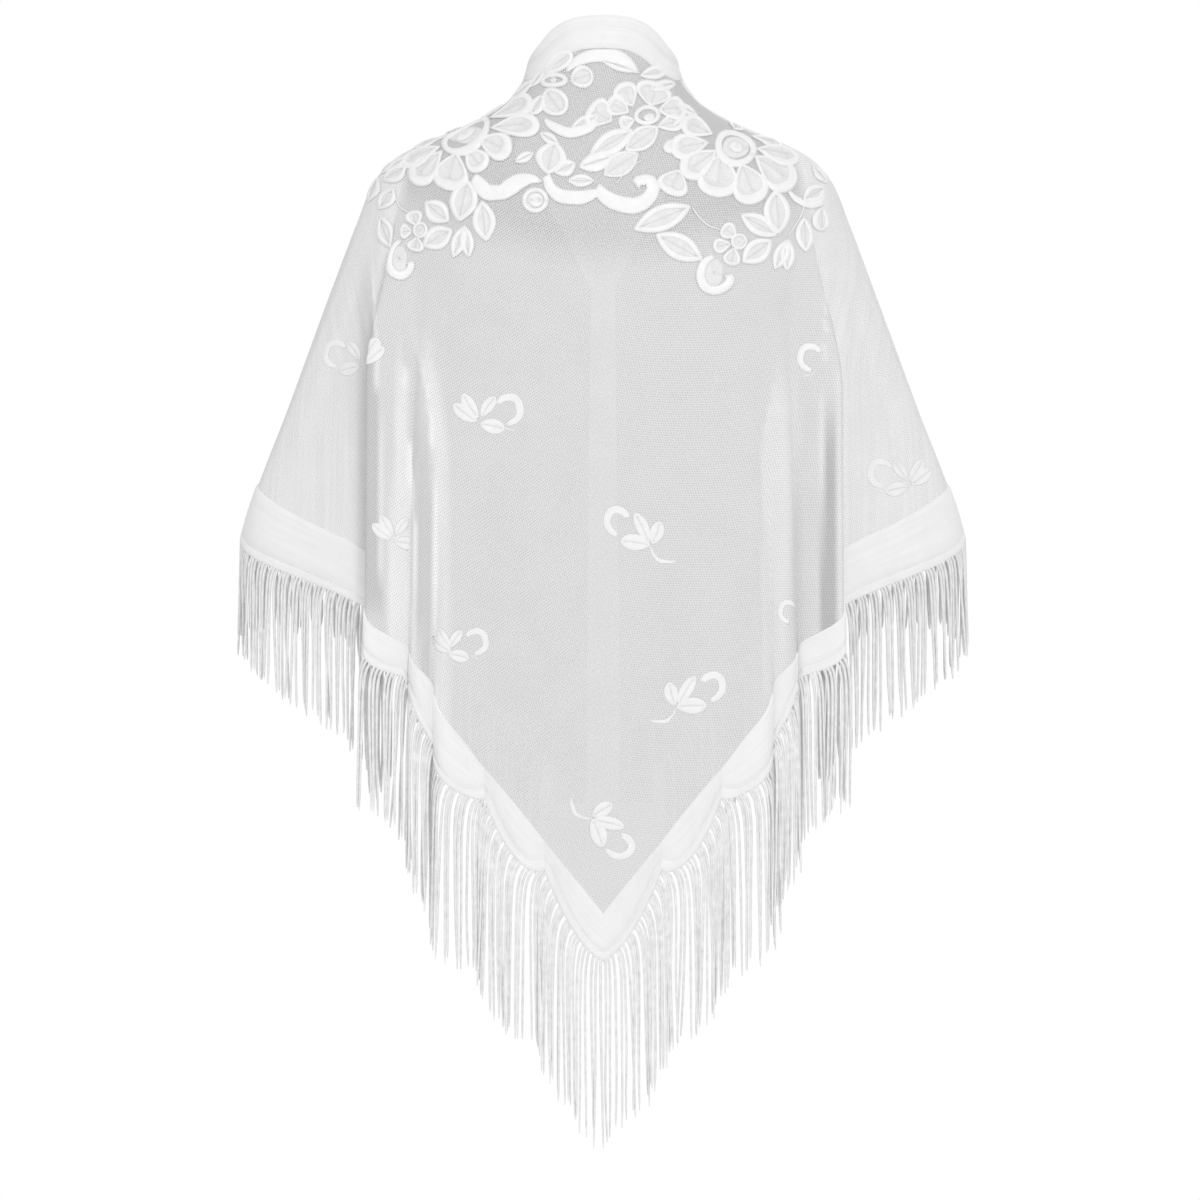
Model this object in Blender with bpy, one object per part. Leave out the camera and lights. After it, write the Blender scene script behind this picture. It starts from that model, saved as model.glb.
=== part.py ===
"""A triangular net shawl with a lace yoke and a long fringe, hollow, in the shape it has when it is worn.

Metres, +Z up. The origin is the middle of the neck opening where the shoulders carry the cloth.
-Y is the wearer's back, where the point of the triangle hangs, and +X is the wearer's right.
A place on the cloth is (across, height): across runs from 0 at the middle of the back, over the
arm, to FRONT_EDGE at the front opening, and is negative on the wearer's left.
"""

import math

import bmesh
import bpy
import numpy as np
from mathutils import Vector
from mathutils.bvhtree import BVHTree

NET_WALL = 0.0012
NET_ROWS = 14
BAND_WALL = 0.0015
BAND_WIDTH = 0.030
BAND_LIFT = 0.0001  # how far the bands and the fringe's strip stand out from the net's outer face
LACE_WALL = 0.0012
LACE_LIFT = 0.0003  # between the net's faces and the lace that lies on them
LIFT_STEP = 0.0002

# Gaps at the seams: between neighbours, under the hem, and where the seam runs through the tight folds.
SEAM_GAP = 0.0003
EDGE_GAP = 0.0018
NET_FOLD_GAP = 0.0045
FOLD_GAP = 0.0080
TIGHT_FOLDS = (0.13, 0.29)  # places across between which those folds lie

# Places across: the seam of the front band, the front opening, and where the net's corner is cut back.
FRONT_SEAM = 0.765
FRONT_EDGE = 0.795
FRONT_CORNER = 0.760
CORNER_CUT = 0.014

# Heights between which the cloth turns from the neck to the upright sides, and from there down to the hem.
NECK_HEIGHT = 0.050
SHOULDER_HEIGHT = -0.095
SIDE_DROP = 0.36
FRONT_EDGE_TOP = -0.150
RIM_POINTS = 52

STRANDS = 86  # on each side
STRAND_WIDTH = 0.0026
STRAND_WALL = 0.0014
STRAND_BEND = 0.016  # how far down a strand has turned from outwards to straight down
STRAND_SWAY = 0.009
STRAND_THINNING = 0.8
ROOT_STRIP = 0.0045
POINT_CALM = 0.05  # strands this near the middle of the back hang straight
PROBE = 2e-4  # a short way over the cloth, for its slopes

# Level sections of the cloth: height, half width, depth to the back, depth to the front.
LEVELS = np.array(
    [
        (0.090, 0.0570, 0.050, 0.046),
        (0.050, 0.0645, 0.056, 0.050),
        (0.030, 0.0700, 0.061, 0.054),
        (0.012, 0.0850, 0.068, 0.060),
        (0.000, 0.1030, 0.074, 0.066),
        (-0.014, 0.1330, 0.082, 0.074),
        (-0.026, 0.1620, 0.089, 0.082),
        (-0.040, 0.1860, 0.097, 0.090),
        (-0.060, 0.2030, 0.106, 0.099),
        (-0.095, 0.2175, 0.118, 0.110),
        (-0.150, 0.2380, 0.128, 0.122),
        (-0.250, 0.2750, 0.134, 0.128),
        (-0.368, 0.3180, 0.138, 0.128),
        (-0.500, 0.3450, 0.139, 0.126),
        (-0.780, 0.3600, 0.136, 0.124),
    ]
)

# Lines down the cloth: across, angle at the neck in degrees, side distance at the shoulder, at the hem,
# and 1 where that distance is on the front. The line with no distance stays at the outermost point.
GUIDES = (
    (0.000, 0.0, 0.000, 0.000, 0),
    (0.060, 30.0, 0.058, 0.060, 0),
    (0.120, 52.0, 0.110, 0.118, 0),
    (0.150, 61.0, 0.132, 0.138, 0),
    (0.200, 71.0, 0.158, 0.163, 0),
    (0.250, 79.0, 0.176, 0.180, 0),
    (0.290, 84.0, 0.188, 0.194, 0),
    (0.420, 96.0, None, None, 0),
    (0.530, 112.0, 0.185, 0.235, 1),
    (0.640, 132.0, 0.120, 0.145, 1),
    (FRONT_SEAM, 160.0, 0.040, 0.044, 1),
    (FRONT_EDGE, 171.0, 0.010, 0.014, 1),
)

# The folds: side (-1 left, 1 right), across, half width, height where it starts, length over which it
# grows, how far it stands out, how far it leans towards the front, and how round its crest is.
FOLDS = (
    (-1, 0.140, 0.030, -0.200, 0.30, 0.009, 0.003, 0.002),
    (-1, 0.186, 0.026, -0.120, 0.24, 0.010, 0.002, 0.003),
    (-1, 0.248, 0.033, -0.060, 0.18, 0.022, 0.021, 0.005),
    (-1, 0.350, 0.045, -0.110, 0.24, -0.006, 0.000, 0.000),
    (-1, 0.465, 0.050, -0.130, 0.22, -0.008, 0.000, 0.000),
    (-1, 0.560, 0.040, -0.110, 0.24, 0.012, -0.008, 0.004),
    (-1, 0.640, 0.036, -0.150, 0.26, 0.011, -0.005, 0.003),
    (-1, 0.706, 0.030, -0.200, 0.28, 0.008, -0.003, 0.002),
    (1, 0.140, 0.030, -0.170, 0.32, 0.009, 0.003, 0.002),
    (1, 0.188, 0.026, -0.130, 0.24, 0.009, 0.002, 0.003),
    (1, 0.251, 0.033, -0.070, 0.18, 0.022, 0.023, 0.005),
    (1, 0.355, 0.050, -0.130, 0.22, -0.007, 0.000, 0.000),
    (1, 0.462, 0.050, -0.120, 0.24, -0.007, 0.000, 0.000),
    (1, 0.555, 0.040, -0.120, 0.24, 0.012, -0.008, 0.004),
    (1, 0.636, 0.036, -0.160, 0.28, 0.011, -0.005, 0.003),
    (1, 0.708, 0.030, -0.190, 0.26, 0.008, -0.003, 0.002),
)

# The top edge from the nape, round the side of the neck and down to the front: angle, height.
NECKLINE = (
    (0.0, 0.0855),
    (20.0, 0.0840),
    (35.0, 0.0800),
    (50.0, 0.0720),
    (65.0, 0.0600),
    (90.0, 0.0450),
    (112.0, 0.0300),
    (132.0, 0.0080),
    (150.0, -0.0240),
    (163.0, -0.0620),
    (171.0, -0.1000),
)

# The hem: across, height of the outer edge at the notches between scallops, height of the band's
# upper seam, and how far the scallop that starts there hangs below its two notches.
HEM = (
    (0.000, -0.7415, -0.6994, 0.014),
    (0.0505, -0.6630, -0.6364, 0.020),
    (0.101, -0.6010, -0.5735, 0.024),
    (0.196, -0.5100, -0.4790, 0.004),
    (0.226, -0.4950, -0.4640, 0.002),
    (0.250, -0.4800, -0.4430, 0.000),
    (0.275, -0.4530, -0.4100, 0.000),
    (0.340, -0.4140, -0.3640, 0.000),
    (0.420, -0.3705, -0.3250, 0.000),
    (0.500, -0.3640, -0.3210, 0.000),
    (0.580, -0.4010, -0.3600, 0.000),
    (0.680, -0.4960, -0.4530, 0.000),
    (FRONT_SEAM, -0.5800, -0.5330, 0.000),
    (FRONT_EDGE, -0.6100, -0.5610, 0.000),
)

# Columns of the net and of the hem band: each stretch ends at a place across and has so many parts.
NET_STRETCHES = ((0.101, 4), (0.196, 11), (0.286, 13), (0.420, 6), (0.530, 5), (0.764, 14))
HEM_STRETCHES = ((0.101, 12), (0.196, 11), (0.286, 13), (0.420, 6), (0.530, 5), (0.764, 14))

# How long the fringe hangs: across, length.
FRINGE_LENGTHS = (
    (0.000, 0.156),
    (0.120, 0.152),
    (0.196, 0.138),
    (0.250, 0.128),
    (0.280, 0.136),
    (0.340, 0.114),
    (0.420, 0.088),
    (0.560, 0.086),
    (0.760, 0.100),
)

# Lines of the lace shapes, in parts of the shape's size: along, up, width to the left, width to the right.
SPRIG = (
    (-0.24, 0.02, 0.02, 0.02),
    (-0.31, 0.07, 0.03, 0.03),
    (-0.41, 0.06, 0.04, 0.04),
    (-0.47, -0.04, 0.05, 0.05),
    (-0.42, -0.16, 0.05, 0.05),
    (-0.30, -0.21, 0.05, 0.04),
    (-0.17, -0.19, 0.12, 0.05),
    (-0.06, -0.17, 0.30, 0.07),
    (0.05, -0.16, 0.14, 0.09),
    (0.15, -0.16, 0.26, 0.08),
    (0.26, -0.17, 0.10, 0.05),
    (0.37, -0.16, 0.04, 0.05),
    (0.46, -0.11, 0.03, 0.03),
)
LEAF = (
    (-0.50, -0.06, 0.02, 0.02),
    (-0.34, -0.01, 0.12, 0.10),
    (-0.12, 0.04, 0.20, 0.16),
    (0.12, 0.05, 0.22, 0.17),
    (0.33, 0.01, 0.14, 0.12),
    (0.50, -0.06, 0.02, 0.02),
)
CRESCENT = (
    (-0.50, -0.16, 0.03, 0.03),
    (-0.38, 0.00, 0.12, 0.07),
    (-0.16, 0.11, 0.17, 0.10),
    (0.10, 0.12, 0.17, 0.10),
    (0.34, 0.02, 0.12, 0.07),
    (0.50, -0.14, 0.03, 0.03),
)
CURL = (
    (0.10, 0.04, 0.05, 0.05),
    (0.02, 0.14, 0.07, 0.07),
    (-0.12, 0.12, 0.08, 0.08),
    (-0.20, -0.02, 0.09, 0.09),
    (-0.13, -0.18, 0.10, 0.10),
    (0.06, -0.26, 0.11, 0.11),
    (0.27, -0.20, 0.11, 0.11),
    (0.40, -0.02, 0.09, 0.09),
    (0.42, 0.18, 0.05, 0.05),
)
SCROLL = (
    (-0.30, 0.06, 0.04, 0.04),
    (-0.36, 0.14, 0.06, 0.06),
    (-0.47, 0.11, 0.07, 0.07),
    (-0.50, -0.03, 0.08, 0.08),
    (-0.40, -0.15, 0.10, 0.09),
    (-0.22, -0.17, 0.13, 0.09),
    (-0.03, -0.10, 0.15, 0.10),
    (0.15, -0.02, 0.14, 0.10),
    (0.33, 0.02, 0.12, 0.09),
    (0.47, -0.03, 0.07, 0.06),
    (0.55, -0.12, 0.03, 0.03),
)
SPRAY = (
    (-0.50, -0.14, 0.02, 0.02),
    (-0.38, -0.07, 0.22, 0.06),
    (-0.25, -0.03, 0.09, 0.20),
    (-0.12, 0.01, 0.27, 0.08),
    (0.02, 0.03, 0.10, 0.24),
    (0.15, 0.05, 0.26, 0.08),
    (0.28, 0.05, 0.09, 0.20),
    (0.40, 0.06, 0.14, 0.10),
    (0.52, 0.08, 0.02, 0.02),
)

# Flowers: name, x, height, radius, radius of the hole, petals.
FLOWERS = (
    ("yoke_flower_left", -0.1216, -0.0186, 0.050, 0.015, 12),
    ("yoke_flower_right", 0.1164, -0.0309, 0.052, 0.015, 12),
    ("yoke_blossom_middle", 0.0446, 0.0004, 0.028, 0.004, 6),
    ("yoke_blossom_neck", -0.0300, 0.0260, 0.014, 0.003, 5),
    ("yoke_blossom_low", -0.0610, -0.0830, 0.011, 0.003, 5),
    ("yoke_ring_right", 0.1146, -0.1149, 0.015, 0.005, 6),
    ("yoke_ring_left", -0.1640, -0.1044, 0.014, 0.005, 6),
)

# Scrolls, leaves and sprigs: name, shape, x, height, size, turn in degrees, 1 where it is mirrored.
RIBBONS = (
    ("yoke_crescent_neck", CRESCENT, 0.0035, 0.0395, 0.044, 0.0, 0),
    ("yoke_crescent_high", CRESCENT, -0.0289, -0.0151, 0.050, 10.0, 0),
    ("yoke_leaf_left", LEAF, -0.0481, -0.0440, 0.040, -30.0, 0),
    ("yoke_leaf_middle", LEAF, -0.0046, -0.0484, 0.046, -25.0, 0),
    ("yoke_leaf_right", LEAF, 0.0400, -0.0500, 0.046, 35.0, 0),
    ("yoke_scroll_left", SCROLL, -0.0810, -0.0620, 0.050, 12.0, 0),
    ("yoke_crescent_low", CRESCENT, -0.0290, -0.0800, 0.038, -14.0, 1),
    ("yoke_scroll_right", SCROLL, 0.0215, -0.0780, 0.050, 0.0, 1),
    ("yoke_leaf_low", LEAF, 0.0740, -0.0960, 0.038, -20.0, 0),
    ("yoke_leaf_tip", LEAF, 0.0656, -0.1220, 0.040, -8.0, 0),
    ("spray_right_high", SPRAY, 0.1700, -0.0900, 0.056, 26.0, 0),
    ("spray_right_low", SPRAY, 0.1520, -0.1290, 0.052, 18.0, 0),
    ("curl_right", CURL, 0.0998, -0.1470, 0.034, 0.0, 0),
    ("spray_left_high", SPRAY, -0.1360, -0.0860, 0.050, -26.0, 1),
    ("spray_left_low", SPRAY, -0.1250, -0.1190, 0.052, -14.0, 1),
    ("curl_left", CURL, -0.1740, -0.1400, 0.032, 0.0, 1),
    ("sprig_centre", SPRIG, 0.0298, -0.3695, 0.066, 0.0, 0),
    ("sprig_lower", SPRIG, 0.0788, -0.5113, 0.060, 0.0, 0),
    ("sprig_point", SPRIG, 0.0009, -0.6250, 0.060, 0.0, 1),
    ("sprig_left_high", SPRIG, -0.1015, -0.2663, 0.060, 0.0, 0),
    ("sprig_left_arm", SPRIG, -0.2310, -0.2155, 0.050, 0.0, 0),
    ("sprig_left_fold", SPRIG, -0.1580, -0.3695, 0.022, 0.0, 0),
    ("sprig_left_low", SPRIG, -0.1080, -0.4675, 0.034, 0.0, 0),
    ("sprig_right_arm", SPRIG, 0.2625, -0.3205, 0.056, 0.0, 0),
    ("sprig_right_high", SPRIG, 0.1500, -0.2400, 0.036, 0.0, 1),
    ("sprig_right_low", SPRIG, 0.1120, -0.4200, 0.040, 0.0, 1),
)


def places_across(stretches):
    """Places across one half, from the stretches of a table."""
    places = [0.0]
    for end, parts in stretches:
        places += list(np.linspace(places[-1], end, parts + 1)[1:])
    return np.array(places)


def through(xs, ys, x):
    """The smooth curve through the points, read at x. It never swings past them. ys has a row for each of xs."""
    xs, ys, x = np.asarray(xs, float), np.asarray(ys, float), np.asarray(x, float)
    if ys.ndim == 1:
        ys = ys[:, None] * np.ones((1, len(x)))
    step = np.diff(xs)[:, None]
    slope = np.diff(ys, axis=0) / step
    before, after = slope[:-1], slope[1:]
    same = before * after > 0
    weight_1, weight_2 = 2 * step[1:] + step[:-1], step[1:] + 2 * step[:-1]
    bend = weight_1 / np.where(same, before, 1) + weight_2 / np.where(same, after, 1)
    lean = np.zeros_like(ys)
    lean[1:-1] = np.where(same, (weight_1 + weight_2) / bend, 0)
    lean[0], lean[-1] = slope[0], slope[-1]
    k = np.clip(np.searchsorted(xs, x, side="right") - 1, 0, len(xs) - 2)
    i, h = np.arange(len(x)), step[k, 0]
    t = (x - xs[k]) / h
    t = np.clip(t, -0.3, 1.3)
    low, high = ys[k, i], ys[k + 1, i]
    return (
        low * (1 + 2 * t) * (1 - t) ** 2
        + high * t * t * (3 - 2 * t)
        + h * lean[k, i] * t * (1 - t) ** 2
        - h * lean[k + 1, i] * t * t * (1 - t)
    )


def ease(t):
    t = np.clip(t, 0.0, 1.0)
    return t * t * (3 - 2 * t)


def level(z):
    """Half width, depth to the back and depth to the front of the section at height z."""
    heights = LEVELS[::-1, 0]
    return [through(heights, LEVELS[::-1, column], z) for column in (1, 2, 3)]


def angle_of(across, z):
    """Where round the body a place on the cloth lies, in radians from the middle of the back."""
    half_width = level(z)[0]
    down = ease((NECK_HEIGHT - z) / (NECK_HEIGHT - SHOULDER_HEIGHT))
    below = np.clip((SHOULDER_HEIGHT - z) / SIDE_DROP, 0, 1.2)
    rows = []
    for _, at_neck, at_shoulder, at_hem, in_front in GUIDES:
        if at_shoulder is None:
            low = np.full_like(z, math.pi / 2)
        else:
            side = at_shoulder + (at_hem - at_shoulder) * below
            wide = np.maximum(half_width, level(np.full_like(z, SHOULDER_HEIGHT))[0])
            low = np.arcsin(np.clip(side / wide, 0, 1))
            low = math.pi - low if in_front else low
        rows.append(math.radians(at_neck) + (low - math.radians(at_neck)) * down)
    return through([guide[0] for guide in GUIDES], np.array(rows), across)


def cloth(across, z):
    """Points on the outer face of the cloth, folds included."""
    across, z = np.broadcast_arrays(np.asarray(across, float), np.asarray(z, float))
    shape = across.shape
    side, u, z = np.sign(across.ravel()), np.abs(across.ravel()), z.ravel().copy()
    half_width, back, front = level(z)
    turn = angle_of(u, z)
    depth = (back + front) / 2 + (back - front) / 2 * np.cos(turn)
    x, y = half_width * np.sin(turn), -depth * np.cos(turn)
    along = np.stack([half_width * np.cos(turn), depth * np.sin(turn)])
    along /= np.linalg.norm(along, axis=0)
    for fold_side, place, wide, start, grow, stand, lean, crest in FOLDS:
        q = np.clip((u - place) / wide, -1, 1)
        size = ease((start - z) / grow) * (side * fold_side > 0)
        bump = (1 + np.cos(math.pi * q)) / 2
        out = size * stand * bump
        slide = size * (lean * bump + crest * np.sin(math.pi * q))
        x = x + out * along[1] + slide * along[0]
        y = y - out * along[0] + slide * along[1]
    return np.stack([np.where(side < 0, -x, x), y, z], axis=-1).reshape(*shape, 3)


def hem_line(across):
    """Height of the hem's outer edge, scallops included, and of the band's upper seam."""
    table = np.array(HEM)
    u = np.abs(np.atleast_1d(np.asarray(across, float)))
    k = np.clip(np.searchsorted(table[:, 0], u, side="right") - 1, 0, len(table) - 2)
    part = np.clip((u - table[k, 0]) / (table[k + 1, 0] - table[k, 0]), 0, 1)
    straight = table[k, 1] + (table[k + 1, 1] - table[k, 1]) * part
    scallop = table[k, 3] * np.sin(math.pi * part) ** 0.8
    columns = places_across(NET_STRETCHES)
    seam = np.interp(u, columns, through(table[:, 0], table[:, 2], columns))
    return straight - scallop, seam


def across_at(angle, z):
    """The place across the cloth that lies at an angle round the body, by halving."""
    low, high = 0.0, FRONT_EDGE
    for _ in range(40):
        middle = (low + high) / 2
        if angle_of(np.array([middle]), np.array([z]))[0] < angle:
            low = middle
        else:
            high = middle
    return (low + high) / 2


def normals(across, z):
    """The way out of the cloth at each place."""
    around = cloth(across + PROBE, z) - cloth(across - PROBE, z)
    upward = cloth(across, z + PROBE) - cloth(across, z - PROBE)
    out = np.cross(around, upward)
    return out / np.linalg.norm(out, axis=-1, keepdims=True)


def rim(count):
    """The outer edge of the neck and front band on one half, from the nape to the tip, as (across, height)."""
    angles, heights = np.array(NECKLINE).T
    turn = np.linspace(0, angles[-1], 60)
    around = [(across_at(math.radians(a), z), z) for a, z in zip(turn, through(angles, heights, turn))]
    down = [(FRONT_EDGE, z) for z in np.linspace(FRONT_EDGE_TOP, HEM[-1][1], 20)]
    places = np.array(around + down)
    lengths = np.linalg.norm(np.diff(cloth(*places.T), axis=0), axis=1)
    walked = np.concatenate([[0], np.cumsum(lengths)])
    even = np.linspace(0, walked[-1], count)
    return np.stack([np.interp(even, walked, column) for column in places.T], axis=1)


def step_along(places, directions, distance, count=6):
    """The places reached by walking a distance over the cloth in the given directions."""
    places, ways = places.copy(), directions.copy()
    for _ in range(count):
        across, z = places.T
        around = (cloth(across + PROBE, z) - cloth(across - PROBE, z)) / (2 * PROBE)
        upward = (cloth(across, z + PROBE) - cloth(across, z - PROBE)) / (2 * PROBE)
        out = np.cross(around, upward)
        out /= np.linalg.norm(out, axis=1, keepdims=True)
        ways = ways - (ways * out).sum(axis=1, keepdims=True) * out
        ways /= np.maximum(np.linalg.norm(ways, axis=1, keepdims=True), 1e-12)
        aa, bb = (around * around).sum(axis=1), (upward * upward).sum(axis=1)
        ab = (around * upward).sum(axis=1)
        aw, bw = (around * ways).sum(axis=1), (upward * ways).sum(axis=1)
        size = aa * bb - ab * ab
        change = np.stack([(aw * bb - bw * ab) / size, (bw * aa - aw * ab) / size], axis=1)
        places += change * (np.asarray(distance) / count)[..., None]
    return places


def seam_inside(edge, width):
    """The line at a width inside an edge of the cloth that is given as places, with the cloth on its right."""
    points = cloth(*edge.T)
    along = np.gradient(points, axis=0)
    out = normals(*edge.T)
    inward = np.cross(along, out)
    inward /= np.linalg.norm(inward, axis=1, keepdims=True)
    return step_along(edge, inward, np.full(len(edge), width), 4)


def material(name, colour, roughness):
    made = bpy.data.materials.new(name)
    made.use_nodes = True
    shader = made.node_tree.nodes["Principled BSDF"]
    shader.inputs["Base Color"].default_value = (*colour, 1)
    shader.inputs["Roughness"].default_value = roughness
    return made


def add_object(name, points, faces, look):
    mesh = bpy.data.meshes.new(name)
    mesh.from_pydata([tuple(point) for point in points], [], faces)
    mesh.materials.append(look)
    made = bpy.data.objects.new(name, mesh)
    bpy.context.collection.objects.link(made)
    return made


def slab(name, outer, inner, look, ring=False):
    """A wall between two grids of points. With ring, the last column joins the first."""
    rows, columns = outer.shape[:2]
    points = np.concatenate([outer.reshape(-1, 3), inner.reshape(-1, 3)])
    below = rows * columns
    faces = []
    spans = columns if ring else columns - 1
    for row in range(rows - 1):
        for column in range(spans):
            beside = (column + 1) % columns
            a, b = row * columns + column, row * columns + beside
            c, d = a + columns, b + columns
            faces += [(a, c, d), (a, d, b)]
            faces += [(a + below, d + below, c + below), (a + below, b + below, d + below)]
    for column in range(spans):
        a, b = column, (column + 1) % columns
        c, d = a + (rows - 1) * columns, b + (rows - 1) * columns
        faces += [(a, b, b + below), (a, b + below, a + below)]
        faces += [(d, c, d + below), (c, c + below, d + below)]
    if not ring:
        for row in range(rows - 1):
            a, c = row * columns, (row + 1) * columns
            b, d = a + columns - 1, c + columns - 1
            faces += [(c, a, a + below, c + below), (b, d, d + below, b + below)]
    return add_object(name, points, faces, look)


def wall(name, places, thickness, lift, look):
    """A wall of cloth over a grid of places: rows go down, columns go from the left to the right."""
    across, z = places[..., 0], places[..., 1]
    out = normals(across, z)
    outer = cloth(across, z) + out * lift
    return slab(name, outer, outer - out * thickness, look)


def both_sides(half):
    """Places on both halves, left to right, from those of the right half. Its first place is the middle."""
    left = half[:0:-1] * np.array([-1.0, 1.0])
    return np.concatenate([left, half])


def net_places(columns, rows):
    """The grid of the net: columns across, rows evenly spaced by length from the band down to the hem."""
    inner = seam_inside(rim(RIM_POINTS), BAND_WIDTH + 2 * SEAM_GAP)
    grid = np.zeros((rows, len(columns), 2))
    for i, u in enumerate(np.abs(columns)):
        top = np.interp(u, inner[:, 0], inner[:, 1]) - SEAM_GAP
        if u > FRONT_CORNER:
            top -= CORNER_CUT
        in_folds = TIGHT_FOLDS[0] < u < TIGHT_FOLDS[1]
        bottom = hem_line(u)[1][0] + (NET_FOLD_GAP if in_folds else EDGE_GAP)
        z = np.linspace(top, bottom, 120)
        walked = np.linalg.norm(np.diff(cloth(np.full_like(z, u), z), axis=0), axis=1)
        walked = np.concatenate([[0], np.cumsum(walked)])
        grid[:, i, 0] = columns[i]
        grid[:, i, 1] = np.interp(np.linspace(0, walked[-1], rows), walked, z)
    return grid


def hem_steps(side):
    """Places along the hem's outer edge of one half at which strands start and end, evenly by length."""
    columns = places_across(HEM_STRETCHES)
    outer = hem_line(columns)[0]
    fine = np.linspace(0.004, columns[-1] - 0.004, 900)
    edge = np.interp(fine, columns, outer)
    walked = np.linalg.norm(np.diff(cloth(side * fine, edge), axis=0), axis=1)
    walked = np.concatenate([[0], np.cumsum(walked)])
    starts = (np.arange(STRANDS) + 0.5) / STRANDS * walked[-1] - STRAND_WIDTH / 2
    both = np.stack([starts, starts + STRAND_WIDTH], axis=1).ravel()
    u = np.interp(both, walked, fine)
    return u, np.interp(u, columns, outer)


def fringe(name, side, look):
    """A narrow strip under the hem with strands drawn out of it, each from one place on its lower face."""
    u, edge = hem_steps(side)
    if side < 0:
        u, edge = u[::-1], edge[::-1]
    high = edge - np.where((u > TIGHT_FOLDS[0]) & (u < TIGHT_FOLDS[1]), FOLD_GAP, EDGE_GAP)
    low = high - ROOT_STRIP
    across = np.stack([side * u, side * u])
    heights = np.stack([high, low])
    out = normals(across, heights)
    outer = cloth(across, heights) + out * BAND_LIFT
    inner = outer - out * STRAND_WALL
    made = slab(name, outer, inner, look)
    table, lengths = np.array(HEM), np.array(FRINGE_LENGTHS)
    spread = np.linspace(0, 0.76, 77)
    slope = np.gradient(through(table[:, 0], table[:, 1], spread), spread)
    count = len(u)
    shape = bmesh.new()
    shape.from_mesh(made.data)
    shape.verts.ensure_lookup_table()
    corner_of = list(shape.verts)
    for strand in range(STRANDS):
        first, second = 2 * strand, 2 * strand + 1
        corners = [count + first, count + second, 3 * count + second, 3 * count + first]
        root = [corner_of[corner] for corner in corners]
        middle = (u[first] + u[second]) / 2
        steep = np.interp(middle, spread, slope) * min(1.0, middle / POINT_CALM)
        around = cloth(side * middle + 1e-3, low[first]) - cloth(side * middle - 1e-3, low[first])
        around = Vector(around / np.linalg.norm(around)) * side
        sway = around * (STRAND_SWAY * steep / math.hypot(1, steep))
        uneven = 1 + 0.045 * math.sin(7.3 * strand) + 0.02 * math.sin(2.9 * strand * strand)
        length = np.interp(middle, lengths[:, 0], lengths[:, 1]) * uneven
        centre = sum((corner.co for corner in root), Vector()) / 4
        bent = centre + sway + Vector((0, 0, -STRAND_BEND))
        knee = [shape.verts.new(bent + (corner.co - centre) * STRAND_THINNING) for corner in root]
        tip = shape.verts.new(centre + sway * 1.15 + Vector((0, 0, -length)))
        for face in [face for face in root[0].link_faces if set(face.verts) <= set(root)]:
            shape.faces.remove(face)
        for face in [face for face in root[1].link_faces if set(face.verts) <= set(root)]:
            shape.faces.remove(face)
        for k in range(4):
            after = (k + 1) % 4
            shape.faces.new((root[k], root[after], knee[after], knee[k]))
            shape.faces.new((knee[k], knee[after], tip))
    bmesh.ops.recalc_face_normals(shape, faces=shape.faces)
    shape.to_mesh(made.data)
    shape.free()


def seen_from_behind(x, z):
    """The place across the cloth that shows at (x, z) when the back is seen straight on."""
    u = np.linspace(-0.42, 0.42, 1681)
    points = cloth(u, np.full_like(u, z))
    near = np.abs(points[:, 0] - x) < 0.0012
    return u[near][np.argmin(points[near, 1])]


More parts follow.
